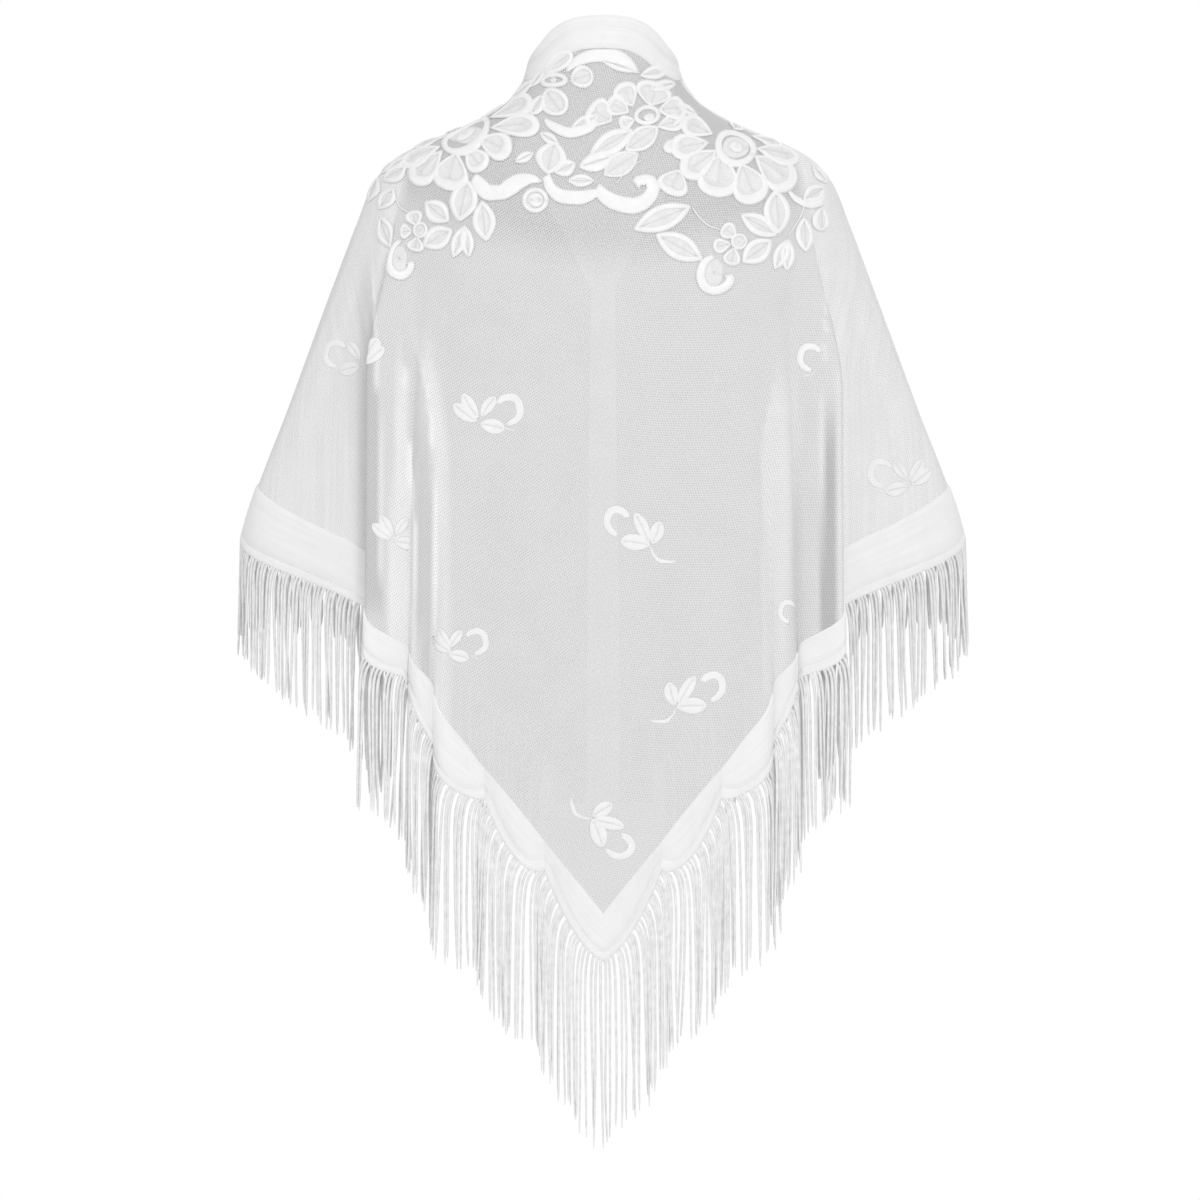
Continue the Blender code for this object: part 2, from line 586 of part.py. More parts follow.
class Lace:
    """Raised lace motifs on the net: each is drawn flat in metres, then laid over the net's own faces."""

    def __init__(self, net, look):
        points = [vertex.co for vertex in net.data.vertices]
        self.faces = BVHTree.FromPolygons(points, [list(face.vertices) for face in net.data.polygons])
        self.look = look

    def lay(self, name, flat, x, z, turn, mirror, ring):
        centre = np.array([seen_from_behind(x, z), z])
        around = cloth(centre[0] + PROBE, z) - cloth(centre[0] - PROBE, z)
        around /= np.linalg.norm(around)
        out = normals(centre[0], centre[1])
        around -= out * (around @ out)
        upward = np.cross(out, around)
        a, b = flat[..., 0].ravel(), flat[..., 1].ravel()
        a = -a if mirror else a
        turned = math.radians(turn)
        a, b = a * math.cos(turned) - b * math.sin(turned), a * math.sin(turned) + b * math.cos(turned)
        far = np.hypot(a, b)
        ways = (a[:, None] * around + b[:, None] * upward) / np.maximum(far, 1e-9)[:, None]
        places = step_along(np.repeat(centre[None], len(a), axis=0), ways, far, 8)
        wanted, out = cloth(*places.T), normals(*places.T)
        low = np.array([self.nearest(point, way) for point, way in zip(wanted, out)])
        low = low.reshape(*flat.shape[:2], 3)
        out = out.reshape(*flat.shape[:2], 3)
        if mirror:
            low, out = low[:, ::-1], out[:, ::-1]
        lift = LIFT_STEP
        while self.meets_net(low + out * lift, ring):
            lift += LIFT_STEP
        seat = low + out * (lift + LACE_LIFT)
        return slab(name, seat + out * LACE_WALL, seat, self.look, ring)

    def meets_net(self, grid, ring):
        """Whether a sheet over a grid of points touches the net."""
        rows, columns = grid.shape[:2]
        faces = []
        for row in range(rows - 1):
            for column in range(columns if ring else columns - 1):
                beside = (column + 1) % columns
                a, b = row * columns + column, row * columns + beside
                faces += [(a, a + columns, b + columns), (a, b + columns, b), (a, a + columns, b)]
        sheet = BVHTree.FromPolygons([Vector(point) for point in grid.reshape(-1, 3)], faces)
        return bool(sheet.overlap(self.faces))

    def nearest(self, point, way):
        start = Vector(point) + Vector(way) * 0.02
        hit = self.faces.ray_cast(start, -Vector(way), 0.05)[0]
        return np.array(hit if hit else self.faces.find_nearest(Vector(point))[0])

    def flower(self, name, x, z, radius, hole, petals, squash=1.0, turn=0.0):
        """A flower with a round hole: petals are four columns each."""
        turns = np.linspace(0, 2 * math.pi, petals * 4, endpoint=False)[::-1]
        edge = radius * (0.70 + 0.30 * np.abs(np.cos(turns * petals / 2)) ** 0.7)
        reach = np.array([1.0, 0.55, 0.0])[:, None]
        far = hole + (edge - hole) * reach
        flat = np.stack([far * np.cos(turns), far * np.sin(turns) * squash], axis=-1)
        self.lay(name, flat, x, z, turn, False, True)

    def ribbon(self, name, shape, x, z, size, turn=0.0, mirror=False):
        """A scroll or a spray: a line with a width to each side, from a table in parts of its size."""
        table = np.array(shape) * size
        line = table[:, :2]
        along = np.gradient(line, axis=0)
        along /= np.linalg.norm(along, axis=1, keepdims=True)
        left = np.stack([-along[:, 1], along[:, 0]], axis=1)
        flat = np.stack([line + left * table[:, 2:3], line, line - left * table[:, 3:4]])
        self.lay(name, flat, x, z, turn, mirror, False)


def clear_scene():
    for old in list(bpy.data.objects):
        bpy.data.objects.remove(old)


def main():
    clear_scene()
    net_look = material("net", (0.86, 0.86, 0.86), 0.85)
    band_look = material("band", (0.93, 0.93, 0.93), 0.7)
    lace_look = material("lace_cord", (0.95, 0.95, 0.95), 0.6)
    fringe_look = material("fringe_yarn", (0.90, 0.90, 0.90), 0.8)
    half = places_across(NET_STRETCHES)
    columns = np.concatenate([-half[:0:-1], half])
    net = wall("net_body", net_places(columns, NET_ROWS), NET_WALL, 0.0, net_look)
    edge = both_sides(rim(RIM_POINTS))
    inner = both_sides(seam_inside(rim(RIM_POINTS), BAND_WIDTH))
    wall("neck_front_band", np.stack([edge, inner]), BAND_WALL, BAND_LIFT, band_look)
    for side, end in ((-1, "left"), (1, "right")):
        u = places_across(HEM_STRETCHES)
        u[0] = SEAM_GAP
        outer, seam = hem_line(u)
        grid = np.stack([np.stack([side * u, seam], axis=1), np.stack([side * u, outer], axis=1)])
        wall(f"hem_band_{end}", grid[:, ::side], BAND_WALL, BAND_LIFT, band_look)
        fringe(f"fringe_{end}", side, fringe_look)
    lace = Lace(net, lace_look)
    for flower in FLOWERS:
        lace.flower(*flower)
    for ribbon in RIBBONS:
        lace.ribbon(*ribbon)


main()
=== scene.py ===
import math

import bmesh
import bpy
import numpy as np
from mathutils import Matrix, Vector


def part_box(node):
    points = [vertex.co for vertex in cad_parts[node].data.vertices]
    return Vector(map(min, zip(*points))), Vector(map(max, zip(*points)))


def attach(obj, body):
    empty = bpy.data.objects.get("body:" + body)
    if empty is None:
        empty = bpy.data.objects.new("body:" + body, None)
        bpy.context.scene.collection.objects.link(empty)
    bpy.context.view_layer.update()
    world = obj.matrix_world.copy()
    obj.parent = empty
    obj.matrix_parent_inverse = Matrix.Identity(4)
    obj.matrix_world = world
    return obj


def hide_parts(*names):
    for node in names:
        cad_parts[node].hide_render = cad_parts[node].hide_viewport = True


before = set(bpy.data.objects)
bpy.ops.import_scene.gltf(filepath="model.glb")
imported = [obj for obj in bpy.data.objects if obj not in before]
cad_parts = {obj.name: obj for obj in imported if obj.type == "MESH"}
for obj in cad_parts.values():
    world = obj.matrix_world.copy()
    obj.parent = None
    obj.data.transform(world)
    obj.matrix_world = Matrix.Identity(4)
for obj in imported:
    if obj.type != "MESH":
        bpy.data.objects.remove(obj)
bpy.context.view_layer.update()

# The shawl is seen from behind: -Y is the back, +X the wearer's right. All is in metres, apart from the tables
# that are named as millimetres.
# A place on the cloth is (across, height): across is 0 at the middle of the back, about 0.42 over the arm
# and 0.795 at the front opening, and negative on the wearer's left.


def sidedRows(rows):
    # a table of a side and of millimetres
    rows = np.array(rows, float)
    rows[:, 1:] /= 1000
    return rows


# Level sections in millimetres: height, half width, depth behind, depth in front
levelRows = np.array([
    (90, 57, 50, 46), (50, 64.5, 56, 50), (30, 70, 61, 54), (12, 85, 68, 60), (0, 103, 74, 66), (-14, 133, 82, 74),
    (-26, 162, 89, 82), (-40, 186, 97, 90), (-60, 203, 106, 99), (-95, 217.5, 118, 110), (-150, 238, 128, 122),
    (-250, 275, 134, 128), (-368, 318, 138, 128), (-500, 345, 139, 126), (-780, 360, 136, 124),
]) / 1000
# Lines down the cloth: across, angle at the neck, side distance at the shoulder and at the hem, 1 on the front
guideRows = (
    (0.000, 0.0, 0.000, 0.000, 0), (0.060, 30.0, 0.058, 0.060, 0), (0.120, 52.0, 0.110, 0.118, 0),
    (0.150, 61.0, 0.132, 0.138, 0), (0.200, 71.0, 0.158, 0.163, 0), (0.250, 79.0, 0.176, 0.180, 0),
    (0.290, 84.0, 0.188, 0.194, 0), (0.420, 96.0, None, None, 0), (0.530, 112.0, 0.185, 0.235, 1),
    (0.640, 132.0, 0.120, 0.145, 1), (0.765, 160.0, 0.040, 0.044, 1), (0.795, 171.0, 0.010, 0.014, 1),
)
# Folds: side, and in millimetres across, half width, start height, length of growth, how far out, lean to the
# front, round crest
foldRows = sidedRows((
    (-1, 140, 30, -200, 300, 9, 3, 2), (-1, 186, 26, -120, 240, 10, 2, 3), (-1, 248, 33, -60, 180, 22, 21, 5),
    (-1, 350, 45, -110, 240, -6, 0, 0), (-1, 465, 50, -130, 220, -8, 0, 0), (-1, 560, 40, -110, 240, 12, -8, 4),
    (-1, 640, 36, -150, 260, 11, -5, 3), (-1, 706, 30, -200, 280, 8, -3, 2), (1, 140, 30, -170, 320, 9, 3, 2),
    (1, 188, 26, -130, 240, 9, 2, 3), (1, 251, 33, -70, 180, 22, 23, 5), (1, 355, 50, -130, 220, -7, 0, 0),
    (1, 462, 50, -120, 240, -7, 0, 0), (1, 555, 40, -120, 240, 12, -8, 4), (1, 636, 36, -160, 280, 11, -5, 3),
    (1, 708, 30, -190, 260, 8, -3, 2),
))
# Small creases given one by one: side, and in millimetres across and height of the two ends, half width, how far out
creaseRows = sidedRows((
    (-1, 300, -75, 330, -330, 10, 1.6), (-1, 335, -110, 372, -360, 12, -1.8), (-1, 375, -100, 402, -365, 9, 1.6),
    (-1, 212, -90, 222, -480, 8, 1.6), (-1, 165, -180, 162, -500, 8, 1.4), (-1, 118, -240, 112, -560, 10, 1.2),
    (-1, 270, -60, 292, -420, 6, -1.2), (-1, 60, -280, 35, -660, 16, 1), (-1, 430, -110, 440, -350, 12, 1.6),
    (-1, 500, -120, 520, -370, 12, -1.6), (1, 300, -80, 328, -340, 10, 1.6), (1, 338, -120, 375, -360, 12, -1.8),
    (1, 380, -110, 404, -365, 9, 1.6), (1, 214, -110, 224, -480, 8, 1.6), (1, 166, -170, 164, -500, 8, 1.4),
    (1, 120, -230, 112, -560, 10, 1.2), (1, 272, -70, 292, -420, 6, -1.2), (1, 55, -300, 32, -670, 16, 1),
    (1, 435, -120, 444, -350, 12, 1.6), (1, 505, -130, 524, -370, 12, -1.6), (1, 600, -180, 612, -410, 10, 1.6),
    (-1, 602, -180, 614, -410, 10, 1.6), (1, 675, -200, 684, -480, 10, -1.4), (-1, 672, -200, 682, -480, 10, -1.4),
))
# Top edge from the nape round the neck to the front: angle, height
necklineRows = (
    (0.0, 0.0855), (20.0, 0.0840), (35.0, 0.0800), (50.0, 0.0720), (65.0, 0.0600), (90.0, 0.0450),
    (112.0, 0.0300), (132.0, 0.0080), (150.0, -0.0240), (163.0, -0.0620), (171.0, -0.1000),
)
# Hem in millimetres: across, height of the edge at the scallop notches and of the band's seam, drop of the scallop
hemRows = np.array([
    (0, -741.5, -699.4, 14), (50.5, -663, -636.4, 20), (101, -601, -573.5, 24), (196, -510, -479, 4),
    (226, -495, -464, 2), (250, -480, -443, 0), (275, -453, -410, 0), (340, -414, -364, 0), (420, -370.5, -325, 0),
    (500, -364, -321, 0), (580, -401, -360, 0), (680, -496, -453, 0), (765, -580, -533, 0), (795, -610, -561, 0),
]) / 1000
bodyForm = {
    "frontEdge": 0.795,
    "frontTop": -0.150,      # where the band turns down the front opening
    "neckHeight": 0.050,
    "shoulderHeight": -0.095,
    "bandWidth": 0.030,
}


def smooth(t):
    t = np.clip(t, 0.0, 1.0)
    return t * t * (3 - 2 * t)


def curveThrough(xs, ys, x):
    # smooth curve through the rows, which never swings past them; ys may have one row per x
    xs, ys, x = np.asarray(xs, float), np.asarray(ys, float), np.asarray(x, float)
    if ys.ndim == 1:
        ys = ys[:, None] * np.ones((1, len(x)))
    gap = np.diff(xs)[:, None]
    rise = np.diff(ys, axis=0) / gap
    same = rise[:-1] * rise[1:] > 0
    weightA, weightB = 2 * gap[1:] + gap[:-1], gap[1:] + 2 * gap[:-1]
    bend = weightA / np.where(same, rise[:-1], 1) + weightB / np.where(same, rise[1:], 1)
    lean = np.zeros_like(ys)
    lean[1:-1] = np.where(same, (weightA + weightB) / bend, 0)
    lean[0], lean[-1] = rise[0], rise[-1]
    k = np.clip(np.searchsorted(xs, x, side="right") - 1, 0, len(xs) - 2)
    i, h = np.arange(len(x)), gap[k, 0]
    t = np.clip((x - xs[k]) / h, -0.3, 1.3)
    return (ys[k, i] * (1 + 2 * t) * (1 - t) ** 2 + ys[k + 1, i] * t * t * (3 - 2 * t)
            + h * lean[k, i] * t * (1 - t) ** 2 - h * lean[k + 1, i] * t * t * (1 - t))


def sectionAt(z):
    heights = levelRows[::-1, 0]
    return [curveThrough(heights, levelRows[::-1, column], z) for column in (1, 2, 3)]


def angleOf(across, z):
    # where round the body a place on the cloth lies, from the middle of the back
    halfWidth = sectionAt(z)[0]
    top, low = bodyForm["neckHeight"], bodyForm["shoulderHeight"]
    down = smooth((top - z) / (top - low))
    below = np.clip((low - z) / 0.36, 0, 1.2)
    wide = np.maximum(halfWidth, sectionAt(np.full_like(z, low))[0])
    rows = []
    for _, atNeck, atShoulder, atHem, inFront in guideRows:
        if atShoulder is None:
            turn = np.full_like(z, math.pi / 2)
        else:
            turn = np.arcsin(np.clip((atShoulder + (atHem - atShoulder) * below) / wide, 0, 1))
            turn = math.pi - turn if inFront else turn
        rows.append(math.radians(atNeck) + (turn - math.radians(atNeck)) * down)
    return curveThrough([row[0] for row in guideRows], np.array(rows), across)


def cloth(across, z):
    across, z = np.broadcast_arrays(np.asarray(across, float), np.asarray(z, float))
    shape = across.shape
    side, u, z = np.sign(across.ravel()), np.abs(across.ravel()), z.ravel().copy()
    halfWidth, back, front = sectionAt(z)
    turn = angleOf(u, z)
    depth = (back + front) / 2 + (back - front) / 2 * np.cos(turn)
    x, y = halfWidth * np.sin(turn), -depth * np.cos(turn)
    along = np.stack([halfWidth * np.cos(turn), depth * np.sin(turn)])
    along /= np.linalg.norm(along, axis=0)
    for foldSide, place, wide, start, grow, stand, lean, crest in foldRows:
        q = np.clip((u - place) / wide, -1, 1)
        size = smooth((start - z) / grow) * (side * foldSide > 0)
        bump = (1 + np.cos(math.pi * q)) / 2
        out, slide = size * stand * bump, size * (lean * bump + crest * np.sin(math.pi * q))
        x, y = x + out * along[1] + slide * along[0], y - out * along[0] + slide * along[1]
    for creaseSide, u0, z0, u1, z1, wide, stand in creaseRows:
        t = np.clip(((u - u0) * (u1 - u0) + (z - z0) * (z1 - z0)) / ((u1 - u0) ** 2 + (z1 - z0) ** 2), 0, 1)
        away = np.hypot(u - u0 - t * (u1 - u0), z - z0 - t * (z1 - z0)) / wide
        out = stand * np.exp(-away ** 2) * np.sin(math.pi * np.clip(t, 0.02, 1)) ** 0.6 * (side * creaseSide > 0)
        x, y = x + out * along[1], y - out * along[0]
    return np.stack([np.where(side < 0, -x, x), y, z], axis=-1).reshape(*shape, 3)


def outOf(across, z):
    # the way out of the cloth at each place
    gap = 4e-4
    out = np.cross(cloth(across + gap, z) - cloth(across - gap, z), cloth(across, z + gap) - cloth(across, z - gap))
    return out / np.linalg.norm(out, axis=-1, keepdims=True)


def walk(places, ways, distance, count=6):
    # places reached by walking a distance over the cloth
    places, ways, gap = places.copy(), ways.copy(), 2e-4
    for _ in range(count):
        across, z = places.T
        around = (cloth(across + gap, z) - cloth(across - gap, z)) / (2 * gap)
        upward = (cloth(across, z + gap) - cloth(across, z - gap)) / (2 * gap)
        out = np.cross(around, upward)
        out /= np.linalg.norm(out, axis=1, keepdims=True)
        ways = ways - (ways * out).sum(axis=1, keepdims=True) * out
        ways /= np.maximum(np.linalg.norm(ways, axis=1, keepdims=True), 1e-12)
        aa, bb, ab = (around * around).sum(axis=1), (upward * upward).sum(axis=1), (around * upward).sum(axis=1)
        aw, bw = (around * ways).sum(axis=1), (upward * ways).sum(axis=1)
        change = np.stack([aw * bb - bw * ab, bw * aa - aw * ab], axis=1) / (aa * bb - ab * ab)[:, None]
        change /= np.maximum(1, np.hypot(*change.T) / 3)[:, None]  # no leap where a fold turns over
        places += change * (np.asarray(distance) / count)[..., None]
    return places


def hemLine(across):
    # height of the hem's outer edge, scallops included, and of the band's upper seam
    u = np.abs(np.atleast_1d(np.asarray(across, float)))
    k = np.clip(np.searchsorted(hemRows[:, 0], u, side="right") - 1, 0, len(hemRows) - 2)
    part = np.clip((u - hemRows[k, 0]) / (hemRows[k + 1, 0] - hemRows[k, 0]), 0, 1)
    straight = hemRows[k, 1] + (hemRows[k + 1, 1] - hemRows[k, 1]) * part
    return straight - hemRows[k, 3] * np.sin(math.pi * part) ** 0.8, curveThrough(hemRows[:, 0], hemRows[:, 2], u)


def acrossAt(angle, z):
    low, high = 0.0, bodyForm["frontEdge"]
    for _ in range(30):
        middle = (low + high) / 2
        if angleOf(np.array([middle]), np.array([z]))[0] < angle:
            low = middle
        else:
            high = middle
    return (low + high) / 2


def lengthsAlong(places):
    points = cloth(*places.T)
    return np.concatenate([[0], np.cumsum(np.linalg.norm(np.diff(points, axis=0), axis=1))])


def evenly(places, count, side=1):
    # the same line with its places evenly spaced by length over the cloth
    walked = lengthsAlong(places * [side, 1])
    even = np.linspace(0, walked[-1], count)
    return np.stack([np.interp(even, walked, column) for column in places.T], axis=1)


def neckEdge(count):
    # outer edge of the neck and front band on one half, from the nape to the tip
    angles, heights = np.array(necklineRows).T
    turn = np.linspace(0, angles[-1], 80)
    around = [(acrossAt(math.radians(a), z), z) for a, z in zip(turn, curveThrough(angles, heights, turn))]
    down = [(bodyForm["frontEdge"], z) for z in np.linspace(bodyForm["frontTop"], hemRows[-1, 1], 24)]
    return evenly(np.array(around + down), count)


def softened(values, reach=6):
    # each value turned into the mean of its neighbours
    return np.convolve(np.pad(values, reach, "edge"), np.ones(2 * reach + 1) / (2 * reach + 1), "valid")


def inwardFrom(edge, width):
    # a line that lies a width inside the edge
    inward = np.cross(np.gradient(cloth(*edge.T), axis=0), outOf(*edge.T))
    # turned slowly, so that no rows cross where the edge turns
    inward = np.stack([softened(part) for part in inward.T], axis=1)
    inward /= np.linalg.norm(inward, axis=1, keepdims=True)
    return walk(edge, inward, np.full(len(edge), width), 4)


def newObject(name, points, edges, faces):
    mesh = bpy.data.meshes.new(name)
    mesh.from_pydata(np.asarray(points, float).reshape(-1, 3).tolist(), edges, faces)
    piece = bpy.data.objects.new(name, mesh)
    bpy.context.scene.collection.objects.link(piece)
    return piece


def meshPiece(name, points, faces, look):
    piece = newObject(name, points, [], faces)
    piece.data.materials.append(look)
    piece.data.shade_smooth()
    return piece


def ellipse(rx, ry, count):
    turns = np.linspace(0, 2 * math.pi, count, endpoint=False)
    return np.stack([rx * np.cos(turns), ry * np.sin(turns)], axis=1)


def gridFaces(rows, columns, ring=False):
    a = (np.arange(rows - 1)[:, None] * columns + np.arange(columns if ring else columns - 1)[None]).ravel()
    b = a + 1
    if ring:
        b = np.where((a + 1) % columns == 0, a + 1 - columns, a + 1)
    return np.stack([a, a + columns, b + columns, b], axis=1)


def setAttribute(piece, name, values, kind="FLOAT"):
    layer = piece.data.attributes.new(name, kind, "POINT")
    layer.data.foreach_set("value" if kind == "FLOAT" else "vector", np.asarray(values, np.float32).ravel())


def setUv(piece, uv):
    layer = piece.data.uv_layers.new(name="UVMap")
    loops = np.empty(len(piece.data.loops), np.int32)
    piece.data.loops.foreach_get("vertex_index", loops)
    layer.data.foreach_set("uv", np.asarray(uv, np.float32).reshape(-1, 2)[loops].ravel())


# Looks: shader nodes, with maths written out on their sockets
class SocketValue:
    def __init__(self, graph, socket):
        self.graph, self.socket = graph, socket

    def combined(self, operation, other, swapped=False):
        first, second = (other, self) if swapped else (self, other)
        return self.graph.node("ShaderNodeMath", {"operation": operation}, {0: first, 1: second})

    def __add__(self, other):
        return self.combined("ADD", other)

    def __radd__(self, other):
        return self.combined("ADD", other, True)

    def __sub__(self, other):
        return self.combined("SUBTRACT", other)

    def __rsub__(self, other):
        return self.combined("SUBTRACT", other, True)

    def __mul__(self, other):
        return self.combined("MULTIPLY", other)

    def wave(self):
        return self.graph.node("ShaderNodeMath", {"operation": "COSINE"}, {0: self})

    def waveOf(self, length):
        return (self * (2 * math.pi / length)).wave()

    def between(self, low, high):
        return self.graph.node("ShaderNodeMapRange", {"interpolation_type": "SMOOTHSTEP"},
                               {"Value": self, "From Min": low, "From Max": high})


def feed(tree, socket, value):
    value = value.socket if isinstance(value, SocketValue) else value
    if isinstance(value, bpy.types.NodeSocket):
        tree.links.new(value, socket)
    else:
        socket.default_value = value


def addNode(tree, kind, settings=None, sockets=None):
    made = tree.nodes.new(kind)
    for key, value in (settings or {}).items():
        setattr(made, key, value)
    for key, value in (sockets or {}).items():
        feed(tree, made.inputs[key], value)
    return made.outputs


class Look:
    def __init__(self, name, colour, roughness, sheen=0.0):
        self.material = bpy.data.materials.new(name)
        self.material.use_nodes = True
        self.tree = self.material.node_tree
        self.shader = self.tree.nodes["Principled BSDF"]
        self.shader.inputs["Base Color"].default_value = (*colour, 1)
        self.shader.inputs["Roughness"].default_value = roughness
        self.shader.inputs["Specular IOR Level"].default_value = 0.25
        self.shader.inputs["Sheen Weight"].default_value = sheen
        self.shader.inputs["Sheen Roughness"].default_value = 0.5

    def node(self, kind, settings=None, sockets=None, output=0):
        return SocketValue(self, addNode(self.tree, kind, settings, sockets)[output])

    def shade(self, name, value):
        feed(self.tree, self.shader.inputs[name], value)

    def attribute(self, name):
        return self.node("ShaderNodeAttribute", {"attribute_name": name}, output="Fac")

    def uvParts(self):
        uv = self.node("ShaderNodeUVMap", {"uv_map": "UVMap"})
        return (uv, *[self.node("ShaderNodeSeparateXYZ", None, {0: uv}, part) for part in (0, 1)])

    def objectCoordinates(self):
        return self.node("ShaderNodeTexCoord", output="Object")

    def noise(self, vector, scale, detail=2.0):
        return self.node("ShaderNodeTexNoise", None, {"Vector": vector, "Scale": scale, "Detail": detail})

    def stretched(self, vector, factors):
        # streaks along one way of a noise
        vector = self.node("ShaderNodeVectorMath", {"operation": "MULTIPLY"}, {0: vector, 1: factors})
        return self.noise(vector, 1.0)

    def grey(self, low, high, factor):
        # from one grey to another; three numbers give a tint
        low, high = [(*(value if isinstance(value, tuple) else (value,) * 3), 1) for value in (low, high)]
        return self.blend(low, high, factor)

    def blend(self, first, second, factor):
        return self.node("ShaderNodeMix", {"data_type": "RGBA"}, {0: factor, 6: first, 7: second}, output=2)

    def bump(self, height, distance, strength):
        normal = self.node("ShaderNodeBump", None, {"Height": height, "Distance": distance, "Strength": strength})
        self.shade("Normal", normal)


netLook = {
    "pitch": 0.0020,       # distance between the holes of the net
    "rowAngles": (45, 165, 285),
    "threadGain": 0.22,    # how much lighter the threads are than the holes
    "speckleGain": 0.42,
    "streakGain": 0.16,    # on the wings only
    "patchGain": 0.07,
    "holeAlpha": 0.86,
    # how strong the pattern is, and the change of that in the open yoke and on the wings
    "strength": (0.60, 1.0, -0.38),
}


def makeNetLook():
    # the net's whiteness is an attribute that holds painted shade and painted light: greyer and more open in the
    # yoke, lighter on the wings, painted shade and highlights along the folds, whiter where they lie double
    look = Look("netTulle", (0.7, 0.7, 0.7), 0.85, 0.1)
    uv, across, down = look.uvParts()
    turn = 2 * math.pi / netLook["pitch"]
    ways = [math.radians(angle) for angle in netLook["rowAngles"]]
    waves = [(across * (turn * math.cos(way)) + down * (turn * math.sin(way))).wave() for way in ways]
    cells = waves[0] + waves[1] + waves[2]
    threads = 1 - cells.between(-0.6, 1.9)
    speckle, patches = look.noise(uv, 560.0), look.noise(uv, 26.0, 3.0)
    streaks = look.stretched(uv, (210, 7, 1))
    yoke, white, wing = look.attribute("open"), look.attribute("white"), look.attribute("wing")
    mesh = (threads - 0.5) * netLook["threadGain"] + (speckle - 0.5) * netLook["speckleGain"]
    plain, inYoke, onWing = netLook["strength"]
    mesh = mesh * (plain + yoke * inYoke + wing * onWing)
    cloudy = (streaks - 0.5) * wing * netLook["streakGain"] + (patches - 0.5) * netLook["patchGain"]
    # the whiteness attribute carries painted shade, painted light and painted highlights, set in makeNet
    look.shade("Base Color", look.grey(0, (1, 1, 1.004), white * (1 + mesh + cloudy)))
    look.shade("Alpha", netLook["holeAlpha"] + threads * (1 - netLook["holeAlpha"]))
    look.bump(threads * 0.8 + speckle * 0.4 + streaks * wing, 0.0005, 0.5)
    return look.material


bandLook = {"thread": 0.0009, "low": 0.80, "high": (0.975, 0.975, 0.977)}


def makeBandLook():
    look = Look("bandCotton", (0.84, 0.84, 0.84), 0.75, 0.1)
    uv, across, down = look.uvParts()
    weave = across.waveOf(bandLook["thread"]) * down.waveOf(bandLook["thread"])
    streaks, cloud = look.stretched(uv, (14, 420, 1)), look.noise(uv, 60.0, 3.0)
    look.shade("Base Color", look.grey(bandLook["low"], bandLook["high"],
                                       cloud * 0.45 + streaks * 0.55 + weave * 0.06))
    look.bump(weave * 0.3 + look.noise(uv, 900.0, 1.0) * 0.4 + streaks * 0.6, 0.0004, 0.5)
    return look.material


laceLook = {
    "satin": 0.0010,       # distance between the satin threads, the gauze's threads and the dots of painted shade along the outlines
    "gauze": 0.0021,
    "shadeDots": 0.0024,
    "thin": ((0.64, 0.64, 0.645), 0.96),
    # outline: colour of the painted shade, in dots along the foot of each rim and along its edge to the gauze
    "outline": (0.42, 0.42, 0.42, 1),
}


def makeLaceLook(name, low, high):
    # rim is 1 on the raised satin borders and 0 in the gauze that fills them; inset is the way in from the edge
    look = Look(name, (0.92, 0.92, 0.92), 0.5, 0.1)
    uv, along, inset = look.uvParts()
    rim = look.attribute("rim")
    satin = along.waveOf(laceLook["satin"])
    gauze = along.waveOf(laceLook["gauze"]) * inset.waveOf(laceLook["gauze"])
    place = look.objectCoordinates()
    speckle, cloud = look.noise(place, 620.0), look.noise(place, 110.0)
    # painted shade: dark dots along the foot of each rim, where it meets the net, and along the rim's edge to the
    # gauze
    shadeDots = along.waveOf(laceLook["shadeDots"]).between(-0.2, 0.8)
    foot = (1 - inset.between(0.0001, 0.0007)) * (0.35 + shadeDots * 0.65)
    gauzeEdgeShade = rim * (1 - rim) * 4.0 * (0.3 + shadeDots * 0.7)
    white = look.grey(low, high, satin * 0.10 + speckle * 0.35 + cloud * 0.7 + 0.05)
    thin = look.grey(*laceLook["thin"], gauze * 0.12 + speckle * 0.55 + cloud * 0.5)
    colour = look.blend(thin, white, rim)
    look.shade("Base Color", look.blend(colour, laceLook["outline"], foot * 0.62 + gauzeEdgeShade * 0.5))
    look.shade("Roughness", 0.85 - rim * 0.3)
    look.bump(satin * rim * 0.35 + gauze * (1 - rim) * 0.4 + speckle * 0.5, 0.0004, 0.5)
    return look.material


def makeYarnLook():
    look = Look("fringeYarn", (0.87, 0.87, 0.87), 0.7, 0.15)
    place = look.objectCoordinates()
    streaks, clump = look.stretched(place, (900, 900, 160)), look.noise(place, 160.0, 1.0)
    look.shade("Base Color", look.grey(0.60, 0.97, streaks * 0.8 + clump * 0.6 - 0.1))
    look.bump(streaks, 0.0005, 0.6)
    return look.material


def makeThreadLook():
    look = Look("sewingThread", (0.9, 0.9, 0.9), 0.5, 0.1)
    twist = look.noise(look.objectCoordinates(), 2200.0, 1.0)
    look.shade("Base Color", look.grey(0.80, 0.97, twist))
    look.bump(twist, 0.0002, 0.4)
    return look.material


# Camera, light and floor
studio = {
    "cameraDistance": 8.12,
    "lens": 276.0,
    "aim": (-0.0026, 0.0, -0.4282),
    "floorHeight": -1.40,
    "floorRadius": 2.6,
    "floorSides": 64,
    "fill": 0.72,            # soft light from all round
    "keyPower": 60.0,
    "keyPlace": (1.15, -3.9, 1.8),
    "keySize": 1.5,
    "sidePower": 13.0,       # weak light from the left
    "sidePlace": (-3.2, -2.6, 0.5),
    "frontPower": 36.0,      # for the side that the camera doesn't see
    "frontPlace": (0.8, 4.2, 1.8),
}


